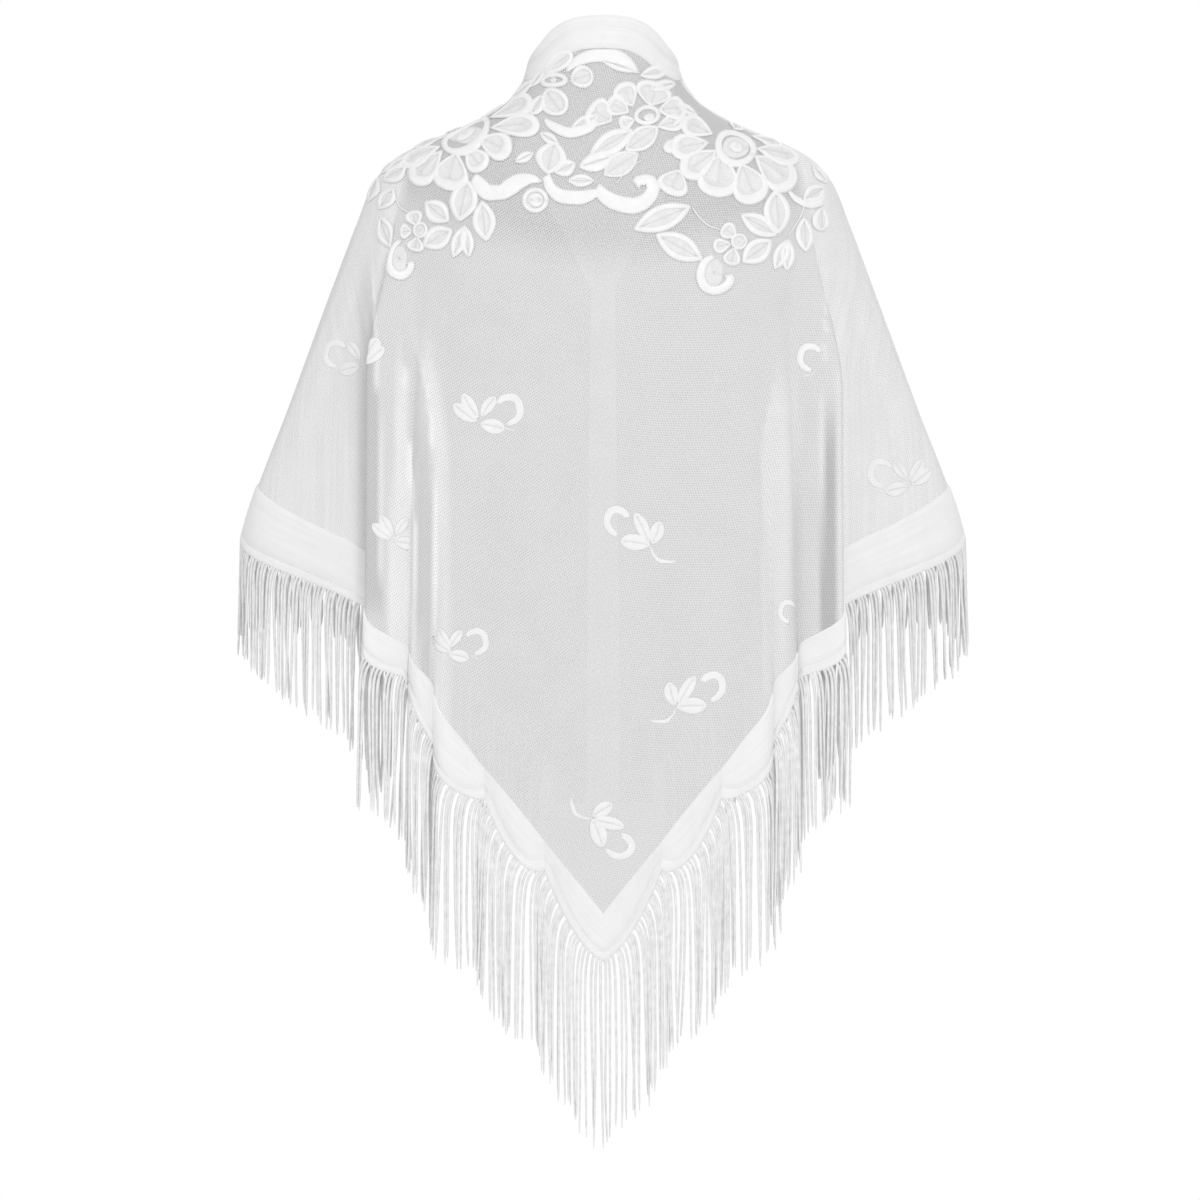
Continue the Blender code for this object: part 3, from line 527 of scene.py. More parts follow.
def makeStudio():
    camera = bpy.data.objects.new("camera", bpy.data.cameras.new("camera"))
    camera.data.lens, camera.data.sensor_width = studio["lens"], 36.0
    camera.data.clip_end = 60.0
    x, y, z = studio["aim"]
    camera.location = (x, -studio["cameraDistance"], z)
    camera.rotation_euler = (math.pi / 2, 0, 0)
    bpy.context.scene.collection.objects.link(camera)
    bpy.context.scene.camera = camera
    # the backdrop is white, and the fill light from it softer than that
    world = bpy.data.worlds.new("studio")
    world.use_nodes = True
    tree = world.node_tree
    fill = tree.nodes["Background"]
    fill.inputs["Color"].default_value = (1, 1, 1, 1)
    fill.inputs["Strength"].default_value = studio["fill"]
    backdrop = addNode(tree, "ShaderNodeBackground", None, {"Color": (1, 1, 1, 1)})
    ray = addNode(tree, "ShaderNodeLightPath")
    both = addNode(tree, "ShaderNodeMixShader", None,
                   {0: ray["Is Camera Ray"], 1: fill.outputs[0], 2: backdrop[0]})
    feed(tree, tree.nodes["World Output"].inputs[0], both[0])
    bpy.context.scene.world = world
    bpy.context.scene.view_settings.view_transform = "Standard"
    for name in ("key", "side", "front"):
        lamp = bpy.data.lights.new(name, "AREA")
        lamp.shape, lamp.size, lamp.energy = "DISK", studio["keySize"], studio[name + "Power"]
        light = bpy.data.objects.new(name, lamp)
        light.location = studio[name + "Place"]
        light.rotation_euler = (light.location - Vector(studio["aim"])).to_track_quat("Z", "Y").to_euler()
        bpy.context.scene.collection.objects.link(light)
    floorLook = Look("paleFloor", (0.88, 0.88, 0.87), 0.8)
    grain = floorLook.noise(floorLook.objectCoordinates(), 6.0, 3.0)
    floorLook.shade("Base Color", floorLook.grey(0.86, 0.90, grain))
    points = [(*place, studio["floorHeight"])
              for place in ellipse(studio["floorRadius"], studio["floorRadius"], studio["floorSides"])]
    floor = meshPiece("floor", points, [list(range(studio["floorSides"]))], floorLook.material)


# Net
netPiece = {
    "columns": 336,
    "rows": 186,
    "sink": 0.0006,        # how far the net lies under the outer face of the bands
    "tuck": 0.004,         # how far its edges run under the bands
    # the back and the open yoke are darker, a painted shade for the shaded inside seen through the net; the wings are
    # lighter, a painted light for the white backdrop seen through them
    "centre": 0.686,       # whiteness of the back, the yoke and the wings
    "yoke": 0.56,
    "wings": 0.82,
    "stripFade": (0.07, 0.03),    # how far the strips fade at their top and foot
}
# Strips of painted shade and painted highlight along the folds, whiter too where the folds lie double: change of
# whiteness, and in millimetres how soft the left and right edges are, and rows of height, left and right edge
foldShadeAndHighlightStrips = (
    (-0.13, 12, 1, ((-110, -216, -205), (-271, -212, -196), (-420, -209, -193))),
    (0.09, 0.8, 1.5, ((-110, -205, -202), (-271, -196, -193), (-470, -192, -189))),
    (0.13, 5, 1, ((-180, -179, -177), (-251, -179, -169), (-391, -186, -162), (-510, -187, -161))),
    (0.1, 1, 1, ((-200, -177.5, -175.5), (-251, -171, -169), (-391, -164.5, -162), (-510, -163.5, -161))),
    (-0.08, 1, 1, ((-250, -163, -150), (-510, -160, -148))),
    (0.08, 1, 1, ((-196, -163, -160.5), (-257, -151.5, -149), (-335, -147, -144.5), (-510, -146, -143.5))),
    (0.1, 1.5, 9, ((-170, -173, -156), (-244, -156, -143), (-300, -148, -134), (-520, -147, -134))),
    (0.07, 1.5, 11, ((-200, 156, 166), (-291, 138, 170), (-500, 139, 156))),
    (0.08, 0.8, 0.8, ((-120, 195, 197.5), (-311, 188, 190.5), (-480, 187, 189.5))),
    (-0.2, 1.2, 1.2, ((-240, 191, 203), (-480, 190, 204))),
    (0.05, 1, 6, ((-150, 204, 212), (-480, 204, 214))),
)


def stripMask(x, z, softLeft, softRight, rows):
    table = np.array(rows)[::-1] / 1000
    left, right = np.interp(z, table[:, 0], table[:, 1]), np.interp(z, table[:, 0], table[:, 2])
    top, foot = netPiece["stripFade"]
    fade = smooth((table[-1, 0] - z) / top) * smooth((z - table[0, 0] + foot) / foot)
    return smooth((x - left) / (softLeft / 1000) + 0.5) * smooth((right - x) / (softRight / 1000) + 0.5) * fade


def clothLengths():
    # lengths over the cloth across and down, as a table over (across, height), for the net's own pattern
    us, zs = np.linspace(-0.80, 0.80, 641), np.linspace(0.10, -0.76, 173)
    points = cloth(*np.meshgrid(us, zs))
    sideways = np.linalg.norm(np.diff(points, axis=1), axis=2)
    sideways = np.concatenate([np.zeros((len(zs), 1)), np.cumsum(sideways, axis=1)], axis=1)
    sideways -= sideways[:, len(us) // 2][:, None]
    downward = np.linalg.norm(np.diff(points, axis=0), axis=2)
    downward = np.concatenate([np.zeros((1, len(us))), np.cumsum(downward, axis=0)])
    return us, zs, sideways, downward


def readTable(table, us, zs, across, z):
    i = np.clip((across - us[0]) / (us[1] - us[0]), 0, len(us) - 1.001)
    j = np.clip((z - zs[0]) / (zs[1] - zs[0]), 0, len(zs) - 1.001)
    i0, j0 = i.astype(int), j.astype(int)
    a, b = i - i0, j - j0
    return ((table[j0, i0] * (1 - a) + table[j0, i0 + 1] * a) * (1 - b)
            + (table[j0 + 1, i0] * (1 - a) + table[j0 + 1, i0 + 1] * a) * b)


def makeNet(look, lengths):
    edge = inwardFrom(neckEdge(240), bodyForm["bandWidth"] - netPiece["tuck"])
    fine = np.linspace(0, 0.768, 1500)
    # columns evenly apart, by the length over the cloth at three heights
    walked = sum(lengthsAlong(np.stack([fine, np.full_like(fine, z)], axis=1)) for z in (-0.10, -0.25, -0.40))
    half = np.interp(np.linspace(0, walked[-1], netPiece["columns"] // 2 + 1), walked, fine)
    columns = np.concatenate([-half[:0:-1], half])
    top = np.interp(np.abs(columns), edge[:, 0], edge[:, 1])
    bottom = hemLine(columns)[1] - netPiece["tuck"]
    rows = np.linspace(0, 1, netPiece["rows"])[:, None]
    across = np.repeat(columns[None], netPiece["rows"], axis=0)
    z = top[None] + (bottom - top)[None] * rows
    points = cloth(across, z)
    net = meshPiece("netCloth", points - outOf(across, z) * netPiece["sink"], gridFaces(*across.shape).tolist(), look)
    us, zs, sideways, downward = lengths
    setUv(net, np.stack([readTable(sideways, us, zs, across, z), readTable(downward, us, zs, across, z)], axis=-1))
    yoke = smooth((z + 0.155 - 0.22 * np.abs(across)) / 0.045)
    wing = smooth((np.abs(across) - 0.235) / 0.05)
    # painted shade and light: the back and the open yoke darker for the shaded inside seen through the net, the wings
    # lighter for the white backdrop seen through them
    white = netPiece["centre"] + (netPiece["wings"] - netPiece["centre"]) * wing
    white += (netPiece["yoke"] - netPiece["centre"]) * yoke * (1 - wing)
    # painted shade and painted highlights along the folds, on the back only
    for change, softLeft, softRight, strip in foldShadeAndHighlightStrips:
        white += change * stripMask(points[..., 0], z, softLeft, softRight, strip) * (points[..., 1] < 0)
    setAttribute(net, "white", white)
    setAttribute(net, "open", yoke * (1 - 0.5 * wing))
    setAttribute(net, "wing", wing)
    print("net", len(net.data.polygons), "quads")
    return net


# Bands
bandForm = {
    # across the neck band in millimetres: distance from its outer edge, height above the cloth
    "neckSection": ((0, -0.8), (0.2, 0.2), (1.2, 0.9), (4, 1), (9.2, 0.9), (10.3, 0.3), (11.4, 0.9), (18, 1),
                    (26.5, 0.9), (27.8, 0.4), (29, 1), (29.8, 0.6), (30.3, -0.4)),
    "under": 0.0014,         # how far the inner face lies inside the cloth
    # across the hem band: its piping in millimetres, then shares of the way to the seam, each with its height
    "hemPipe": ((0, -0.8), (0.3, 0.4), (1.5, 1), (5.6, 1), (6.4, 0.1), (7.4, 0.9)),
    "hemRest": ((0.25, 1), (0.5, 1), (0.75, 1), (0.94, 0.9), (0.98, 0.4), (1, -0.6)),
    "hemWidth": 0.024,       # of the part above the piping, for the pattern
    "steepest": 2.2,         # slope of the hem up to which the piping keeps its width
}


def closedBand(name, places, heights, look, uv):
    # a band of doubled cloth: its outer face from a section, its inner face plain
    across, z = places[..., 0], places[..., 1]
    out = outOf(across, z)
    outer = cloth(across, z) + out * heights[..., None]
    under = cloth(across, z) - out * bandForm["under"]
    rows, columns = across.shape
    faces = gridFaces(rows, columns)
    below = rows * columns
    sheet = faces.tolist() + (faces[:, ::-1] + below).tolist()
    last = (rows - 1) * columns
    for c in range(columns - 1):
        sheet.append((c + 1, c + 1 + below, c + below, c))
        sheet.append((last + c, last + c + below, last + c + 1 + below, last + c + 1))
    for r in range(rows - 1):
        a, b = r * columns, (r + 1) * columns
        sheet.append((a, a + below, b + below, b))
        sheet.append((b + columns - 1, b + columns - 1 + below, a + columns - 1 + below, a + columns - 1))
    piece = meshPiece(name, np.concatenate([outer.reshape(-1, 3), under.reshape(-1, 3)]), sheet, look)
    piece.data.set_sharp_from_angle(angle=math.radians(60))
    setUv(piece, np.concatenate([uv.reshape(-1, 2), uv.reshape(-1, 2)]))
    return piece


def makeNeckBand(look):
    half = neckEdge(260)
    section = np.array(bandForm["neckSection"]) / 1000
    grid = [inwardFrom(half, d) if d > 0 else half for d in section[:, 0]]
    for row in grid:
        row[0] = 0.0, row[1, 1]
    both = np.array([np.concatenate([row[:0:-1] * np.array([-1.0, 1.0]), row]) for row in grid])
    heights = np.repeat(section[:, 1:2], both.shape[1], axis=1)
    uv = np.stack(np.broadcast_arrays(lengthsAlong(both[0])[None], section[:, 0][:, None]), axis=-1)
    return closedBand("neckBand", both, heights, look, uv), both


def makeHemBand(name, side, look):
    u = np.concatenate([np.linspace(0.0, 0.101, 130), np.linspace(0.101, 0.764, 330)[1:]])
    u = evenly(np.stack([u, hemLine(u)[0]], axis=1), 430, side)[:, 0]
    for notch in (0.0505, 0.101):
        u[np.argmin(np.abs(u - notch))] = notch
    outer, seam = hemLine(u)
    steepest = bandForm["steepest"]
    tilt = softened(np.hypot(1, np.clip(np.gradient(outer, u), -steepest, steepest)))
    pipe, rest = np.array(bandForm["hemPipe"]) / 1000, np.array(bandForm["hemRest"])
    start, end = outer + pipe[-1, 0] * tilt, seam - 0.0004
    z = np.array([outer + inset * tilt for inset in pipe[:, 0]]
                 + [start + (end - start) * part for part in rest[:, 0]])
    heights = np.concatenate([pipe[:, 1], rest[:, 1] / 1000])
    insets = np.concatenate([pipe[:, 0], pipe[-1, 0] + bandForm["hemWidth"] * rest[:, 0]])
    # on both sides the seam comes first, and each row runs from left to right
    places = np.stack(np.broadcast_arrays(side * u, z), axis=-1)[::-1, ::side]
    heights = np.repeat(heights[::-1, None], len(u), axis=1)
    uv = np.stack(np.broadcast_arrays(lengthsAlong(places[-1])[None], insets[::-1, None]), axis=-1)
    return closedBand(name, places, heights, look, uv)


# Geometry trees
def makeTree(name, inputs):
    tree = bpy.data.node_groups.new(name, "GeometryNodeTree")
    tree.is_modifier = True
    tree.interface.new_socket("Geometry", in_out="INPUT", socket_type="NodeSocketGeometry")
    named = {}
    for label, kind, value in inputs:
        socket = tree.interface.new_socket(label, in_out="INPUT", socket_type="NodeSocket" + kind)
        if kind != "Material":
            socket.default_value = value
        named[label] = socket.identifier
    tree.interface.new_socket("Geometry", in_out="OUTPUT", socket_type="NodeSocketGeometry")
    source, result = tree.nodes.new("NodeGroupInput"), tree.nodes.new("NodeGroupOutput")

    def node(kind, settings=None, sockets=None):
        return addNode(tree, kind, settings, sockets)[0]

    return tree, source.outputs, result.inputs[0], named, node


def runTree(piece, tree, named, values):
    modifier = piece.modifiers.new("build", "NODES")
    modifier.node_group = tree
    for label, value in values.items():
        modifier[named[label]] = value
    bpy.context.view_layer.update()
    evaluated = piece.evaluated_get(bpy.context.evaluated_depsgraph_get())
    mesh = bpy.data.meshes.new_from_object(evaluated)
    mesh.name = piece.name
    piece.modifiers.remove(modifier)
    old = piece.data
    piece.data = mesh
    bpy.data.meshes.remove(old)
    mesh.shade_smooth()
    return piece


# Fringe
fringeForm = {
    "strands": 240,          # on each side, hung in threes
    "segments": 22,
    "sides": 6,
    "radius": 0.00136,
    "knee": 0.0105,          # how far a strand leaves outwards before it bends down
    # how long the fringe hangs, in millimetres: across, length
    "lengths": ((0, 162), (20, 152), (120, 150), (196, 138), (250, 128), (280, 136), (340, 114), (420, 88),
                (560, 86), (760, 100)),
    "uneven": 0.008,
    # in steps from strand to strand: the middle of the first three, distance within a three, how far out of place
    "groupStart": 1.15,
    "groupSpread": 0.84,
    "outOfPlace": 0.10,
    "leanRound": 0.0016,     # how far the tips lean along the hem, each alone and with the others of its three
    "leanTogether": 0.0012,
    "leanOut": (0.001, 0.0022),
    "swayRound": 0.0006,     # how far the strands wave
    "swayOut": 0.0005,
    "seed": 41,
}


def strandTree():
    tree, source, result, named, node = makeTree("hangStrands", [
        ("Segments", "Int", 20), ("Sides", "Int", 5), ("Radius", "Float", 0.001), ("Taper", "Float", 0.45),
        ("Yarn", "Material", None)])
    line = node("GeometryNodeCurvePrimitiveLine", {"mode": "POINTS"}, {"Start": (0, 0, 0), "End": (0, 0, -0.001)})
    line = node("GeometryNodeResampleCurve", {"mode": "COUNT"}, {"Curve": line, "Count": source["Segments"]})
    points = node("GeometryNodeMeshToPoints", None, {"Mesh": source["Geometry"], "Radius": 0.001})
    many = node("GeometryNodeInstanceOnPoints", None, {"Points": points, "Instance": line})
    many = node("GeometryNodeRealizeInstances", None, {"Geometry": many})
    t = node("GeometryNodeSplineParameter")

    def number(name, kind="FLOAT"):
        return node("GeometryNodeInputNamedAttribute", {"data_type": kind}, {"Name": name})

    def maths(operation, a, b=0.0, c=0.0):
        return node("ShaderNodeMath", {"operation": operation}, {0: a, 1: b, 2: c})

    def moved(place, name, factor):
        way = node("ShaderNodeVectorMath", {"operation": "SCALE"},
                   {0: number(name, "FLOAT_VECTOR"), "Scale": factor})
        return node("ShaderNodeVectorMath", {"operation": "ADD"}, {0: place, 1: way})

    def ramp(start, end, first, last):
        return node("ShaderNodeMapRange", {"interpolation_type": "SMOOTHSTEP"},
                    {"Value": t, "From Min": start, "From Max": end, "To Min": first, "To Max": last})

    # outwards first, then straight down: the outward part fills up in the first tenth or so
    reached = maths("SUBTRACT", 1.0, maths("EXPONENT", maths("MULTIPLY", t, -11.0)))
    swing = maths("SINE", maths("MULTIPLY_ADD", t, number("turns"), number("phase")))
    swing = maths("MULTIPLY", swing, maths("MULTIPLY", t, t))
    drop = maths("MULTIPLY", number("hang"), maths("POWER", t, 1.12))
    place = moved(number("root", "FLOAT_VECTOR"), "outward", reached)
    place = moved(place, "lean", maths("POWER", t, 1.4))
    place = moved(place, "sway", swing)
    down = node("ShaderNodeCombineXYZ", None, {"Z": maths("MULTIPLY", drop, -1.0)})
    place = node("ShaderNodeVectorMath", {"operation": "ADD"}, {0: place, 1: down})
    many = node("GeometryNodeSetPosition", None, {"Geometry": many, "Position": place})
    tip, knot = ramp(0.93, 1.0, 1.0, source["Taper"]), ramp(0.0, 0.10, 1.05, 1.0)
    fluff = node("ShaderNodeTexNoise", None, {"Scale": 90.0, "Detail": 1.0})
    width = maths("MULTIPLY", maths("MULTIPLY", tip, knot), maths("MULTIPLY_ADD", fluff, 0.3, 0.85))
    width = maths("MULTIPLY", width, maths("MULTIPLY_ADD", t, -0.30, 1.0))
    circle = node("GeometryNodeCurvePrimitiveCircle", None,
                  {"Resolution": source["Sides"], "Radius": source["Radius"]})
    tubes = node("GeometryNodeCurveToMesh", None,
                 {"Curve": many, "Profile Curve": circle, "Scale": width, "Fill Caps": True})
    tubes = node("GeometryNodeRealizeInstances", None, {"Geometry": tubes})
    tubes = node("GeometryNodeSetMaterial", None, {"Geometry": tubes, "Material": source["Yarn"]})
    tree.links.new(tubes, result)
    return tree, named


def makeFringe(name, side, tree, named, look):
    random = np.random.default_rng(fringeForm["seed"] + side)
    count, away = fringeForm["strands"], fringeForm["outOfPlace"]
    fine = np.linspace(0.0003, 0.7625, 3000)
    walked = lengthsAlong(np.stack([side * fine, hemLine(fine)[0]], axis=1))
    group, member = np.divmod(np.arange(count), 3)
    where = (3 * group + fringeForm["groupStart"] + (member - 1) * fringeForm["groupSpread"]
             + random.uniform(-away, away, count)) * (walked[-1] / count)
    u = np.interp(where, walked, fine)
    z = hemLine(u)[0] + 0.0012
    out = outOf(side * u, z)
    root = cloth(side * u, z) - out * 0.0003
    # straight out of the hem's edge: the way of its slope, turned a right angle within the cloth
    slope = np.gradient(curveThrough(hemRows[:, 0], hemRows[:, 1], fine), fine)
    steep = np.interp(u, fine, slope) * np.clip(u / 0.04, 0, 1)
    around = cloth(side * u + 1e-3, z) - cloth(side * u - 1e-3, z)
    around /= np.linalg.norm(around, axis=1, keepdims=True)
    around *= side
    outward = around * (steep / np.hypot(1, steep))[:, None] * fringeForm["knee"]

    def drawn(spread, middle=0):
        return random.normal(middle, spread, count)[:, None]

    lengths = np.array(fringeForm["lengths"]) / 1000
    hang = curveThrough(lengths[:, 0], lengths[:, 1], u)
    hang = hang + random.normal(0, 0.45, count).clip(-1, 1) * fringeForm["uneven"]
    middle, spread = fringeForm["leanOut"]
    lean = around * drawn(fringeForm["leanRound"]) + out * drawn(spread, middle)
    lean += around * drawn(fringeForm["leanTogether"])[group]
    sway = around * drawn(fringeForm["swayRound"]) + out * drawn(fringeForm["swayOut"])
    piece = newObject(name, root, [], [])
    for label, values in (("root", root), ("outward", outward), ("lean", lean), ("sway", sway)):
        setAttribute(piece, label, values, "FLOAT_VECTOR")
    setAttribute(piece, "hang", hang)
    setAttribute(piece, "turns", random.uniform(4, 9, count))
    setAttribute(piece, "phase", random.uniform(0, 6, count))
    piece = runTree(piece, tree, named, {"Segments": fringeForm["segments"], "Sides": fringeForm["sides"],
                                         "Radius": fringeForm["radius"], "Yarn": look})
    print(name, count, "strands,", len(piece.data.polygons), "faces")
    return piece


# Stitches
stitchForm = {"length": 0.0026, "width": 0.0006, "pitch": 0.0042}


def stitchTree():
    tree, source, result, named, node = makeTree("sewStitches", [
        ("Pitch", "Float", 0.004), ("Length", "Float", 0.003), ("Width", "Float", 0.0006),
        ("Thread", "Material", None)])
    line = node("GeometryNodeMeshToCurve", None, {"Mesh": source["Geometry"]})
    line = node("GeometryNodeResampleCurve", {"mode": "LENGTH"}, {"Curve": line, "Length": source["Pitch"]})
    ball = node("GeometryNodeMeshUVSphere", None, {"Segments": 6, "Rings": 4, "Radius": 0.5})
    size = node("ShaderNodeCombineXYZ", None, {"X": source["Width"], "Y": source["Width"], "Z": source["Length"]})
    way = node("FunctionNodeAlignRotationToVector", {"axis": "Z"}, {"Vector": node("GeometryNodeInputTangent")})
    many = node("GeometryNodeInstanceOnPoints", None,
                {"Points": line, "Instance": ball, "Rotation": way, "Scale": size})
    many = node("GeometryNodeRealizeInstances", None, {"Geometry": many})
    many = node("GeometryNodeSetMaterial", None, {"Geometry": many, "Material": source["Thread"]})
    tree.links.new(many, result)
    return tree, named


def sewn(name, points, lines, form, tree, named, look):
    # stitches or knots along the lines
    piece = newObject(name, points, lines, [])
    return runTree(piece, tree, named, {"Pitch": form["pitch"], "Length": form["length"],
                                        "Width": form["width"], "Thread": look})


def makeStitches(name, places, lift, tree, named, look):
    points = cloth(*places.T) + outOf(*places.T) * lift
    lines = [(i, i + 1) for i in range(len(points) - 1)]
    return sewn(name, points, lines, stitchForm, tree, named, look)


# Lace
laceForm = {
    "height": 0.0016,
    "gauze": 0.0006,         # height of the gauze in the leaves and petals
    "sink": 0.0007,
    "fuller": 1.05,          # leaves and petals against their width in the tables
    "leafRim": 1.35,         # their rims against the tables
    "petalRim": 1.15,
    "petalFoot": 0.0032,     # widest rim at the foot of a petal
    "ringSides": 30,
    "roundSides": 24,
}


def thereAndBack(left, right):
    return np.concatenate([left, right[-2:0:-1]])


def bothSides(x, y, half):
    # outline round a spine: out along its left side and back along its right
    slope = np.arctan2(np.gradient(y), np.gradient(x))
    left = np.stack([x - half * np.sin(slope), y + half * np.cos(slope)], axis=1)
    right = np.stack([x + half * np.sin(slope), y - half * np.cos(slope)], axis=1)
    return thereAndBack(left, right)


def petal(length, width, fat, pointed, rim, tipRim, bend=0.0, footEnd=0.84):
    # a leaf or petal along +x from its foot at 0: outline, feet on its spine, how wide its rim is
    ends = (1 - np.cos(np.linspace(0, math.pi, 17))) / 2
    warp = ends ** (math.log(0.5) / math.log(fat))
    half = width / 2 * np.sin(math.pi * warp) ** pointed
    foot = np.clip(ends, 0.16, footEnd)
    feet = np.stack([length * foot, bend * length * np.sin(math.pi * foot)], axis=1)
    rims = rim + (tipRim - rim) * smooth((ends - 0.45) / 0.45)
    return (bothSides(length * ends, bend * length * np.sin(math.pi * ends), half), thereAndBack(feet, feet),
            thereAndBack(rims, rims))


def cordLine(rows, count=26):
    # a solid scroll or stem: rows are x, y and width
    rows = np.array(rows, float)
    chord = np.concatenate([[0], np.cumsum(np.hypot(*np.diff(rows[:, :2], axis=0).T))])
    even = np.linspace(0, chord[-1], count)
    x, y, wide = [curveThrough(chord, rows[:, i], even) for i in range(3)]
    spine = np.stack([x, y], axis=1)
    spine[0], spine[-1] = spine[1], spine[-2]
    return bothSides(x, y, wide / 2), thereAndBack(spine, spine), None, False


class Lace:
    def __init__(self, name, look):
        self.name, self.look = name, look
        self.points, self.faces, self.rims, self.uvs, self.edges = [], [], [], [], []
        self.count = 0

    def add(self, shape, x, z, turn=0.0, height=1.0, lift=0.0, picots=True):
        # a shape is its outline, feet on its spine, width of its rim or none if solid, and whether it has a vein
        outline, feet, rim, vein = shape
        full = np.ones(len(outline))
        reach = np.hypot(*(outline - feet).T)
        # rings from the outline inwards: distance from it, height, share of satin
        if rim is None:
            thick = np.clip(reach / 0.004, 0.35, 1)
            rings = [(reach * f, np.sqrt(1 - (1 - f) ** 2) * thick, full)
                     for f in (0.0, 0.10, 0.28, 0.5, 0.72, 0.92, 1.0)]
        else:
            wide = np.minimum(rim, reach * 0.97)
            thick = np.clip(wide / 0.0034, 0.3, 1)
            rings = [(wide * f, math.sqrt(max(0.0, 1 - (2 * f - 1) ** 2)) * thick
                      + f * laceForm["gauze"] / laceForm["height"] * 0.5, full)
                     for f in (0.0, 0.10, 0.28, 0.5, 0.72, 0.92)]
            narrow = np.clip(1 - reach / 0.003, 0, 1)
            middle = (1.0, 0.75, 0.9) if vein else (1.0, 0.35, 0.0)
            for f, rise, satin in ((0.02, 0.35, narrow), (0.5, 0.30, narrow), (0.88, 0.32, narrow), middle):
                rings.append((wide + (reach - wide) * f, full * rise, full * satin))
        flat = [feet + (outline - feet) * (1 - inset / np.maximum(reach, 1e-9))[:, None] for inset, _, _ in rings]
        rings += [(full * 0, full * 0, full), (reach, full * 0, full)]
        insets, rises, marks = zip(*rings)
        top = gridFaces(len(flat), len(outline), True)
        base = gridFaces(2, len(outline), True)[:, ::-1] + len(flat) * len(outline)
        run = np.concatenate([[0], np.cumsum(np.hypot(*np.diff(outline, axis=0).T))])
        on = self.lay(np.concatenate([*flat, outline, feet]), np.concatenate(rises) * laceForm["height"] * height,
                      x, z, turn, lift, np.concatenate([top, base])[:, ::-1], np.concatenate(marks),
                      np.concatenate([np.stack([run, inset], axis=1) for inset in insets]))
        if picots:
            self.edges.append(on[:len(outline)])

    def ring(self, rx, ry, width, x, z, turn=0.0, height=1.0):
        sides, turns = laceForm["ringSides"], np.linspace(0, 2 * math.pi, laceForm["ringSides"], endpoint=False)
        steps = (0.0, 0.12, 0.3, 0.5, 0.7, 0.88, 1.0)
        flat = [ellipse(rx - width * f, ry - width * f, sides) for f in (*steps, 0.0)]
        rises = [math.sqrt(max(0.0, 1 - (2 * f - 1) ** 2)) for f in steps] + [0.0]
        uv = np.stack([np.tile(turns * rx, len(flat)), np.repeat(np.arange(len(flat)) * 0.001, sides)], axis=1)
        on = self.lay(np.concatenate(flat), np.repeat(rises, sides) * laceForm["height"] * height, x, z, turn, 0.0,
                      gridFaces(len(flat), sides, True), np.ones(len(uv)), uv)
        self.edges.append(on[:sides])

    def dome(self, rx, ry, x, z, turn=0.0, height=1.0):
        outline = ellipse(rx, ry, laceForm["roundSides"])
        self.add((outline, outline * 0.02, None, False), x, z, turn, height)

    def lay(self, flat, heights, x, z, turn, lift, faces, rims, uv):
        # places a flat drawing on the cloth: as drawn where the cloth faces the eye, drawn out where it turns away
        a, b = flat.T
        turned = math.radians(turn)
        a, b = a * math.cos(turned) - b * math.sin(turned), a * math.sin(turned) + b * math.cos(turned)
        centre = np.array([seenFromBehind(x, z), z])
        out = outOf(centre[0], centre[1])
        way = np.stack([a, -(out[0] * a + out[2] * b) / min(out[1], -0.35), b], axis=1)
        far = np.linalg.norm(way, axis=1)
        places = walk(np.repeat(centre[None], len(a), axis=0), way / np.maximum(far, 1e-9)[:, None], far)
        normal, on = outOf(*places.T), cloth(*places.T)
        self.points.append(on + normal * (heights - laceForm["sink"] + lift)[:, None])
        self.faces += (faces + self.count).tolist()
        self.rims.append(rims)
        self.uvs.append(uv)
        self.count += len(flat)
        return on + normal * 0.0002

    def finish(self):
        piece = meshPiece(self.name, np.concatenate(self.points), self.faces, self.look)
        setAttribute(piece, "rim", np.concatenate(self.rims))
        setUv(piece, np.concatenate(self.uvs))
        shape = bmesh.new()
        shape.from_mesh(piece.data)
        bmesh.ops.remove_doubles(shape, verts=shape.verts, dist=2e-6)
        bmesh.ops.dissolve_degenerate(shape, dist=1e-7, edges=shape.edges)
        bmesh.ops.recalc_face_normals(shape, faces=shape.faces)
        shape.to_mesh(piece.data)
        shape.free()
        piece.data.shade_smooth()
        print(self.name, len(piece.data.polygons), "faces")
        return piece


def seenFromBehind(x, z):
    # where on the cloth a place in the view from behind lies
    u = np.linspace(-0.44, 0.44, 1761)
    points = cloth(u, np.full_like(u, z))
    near = np.abs(points[:, 0] - x) < 0.0014
    if not near.any():
        near = np.abs(points[:, 0] - x) < np.abs(points[:, 0] - x).min() + 1e-5
    return u[near][np.argmin(points[near, 1])]


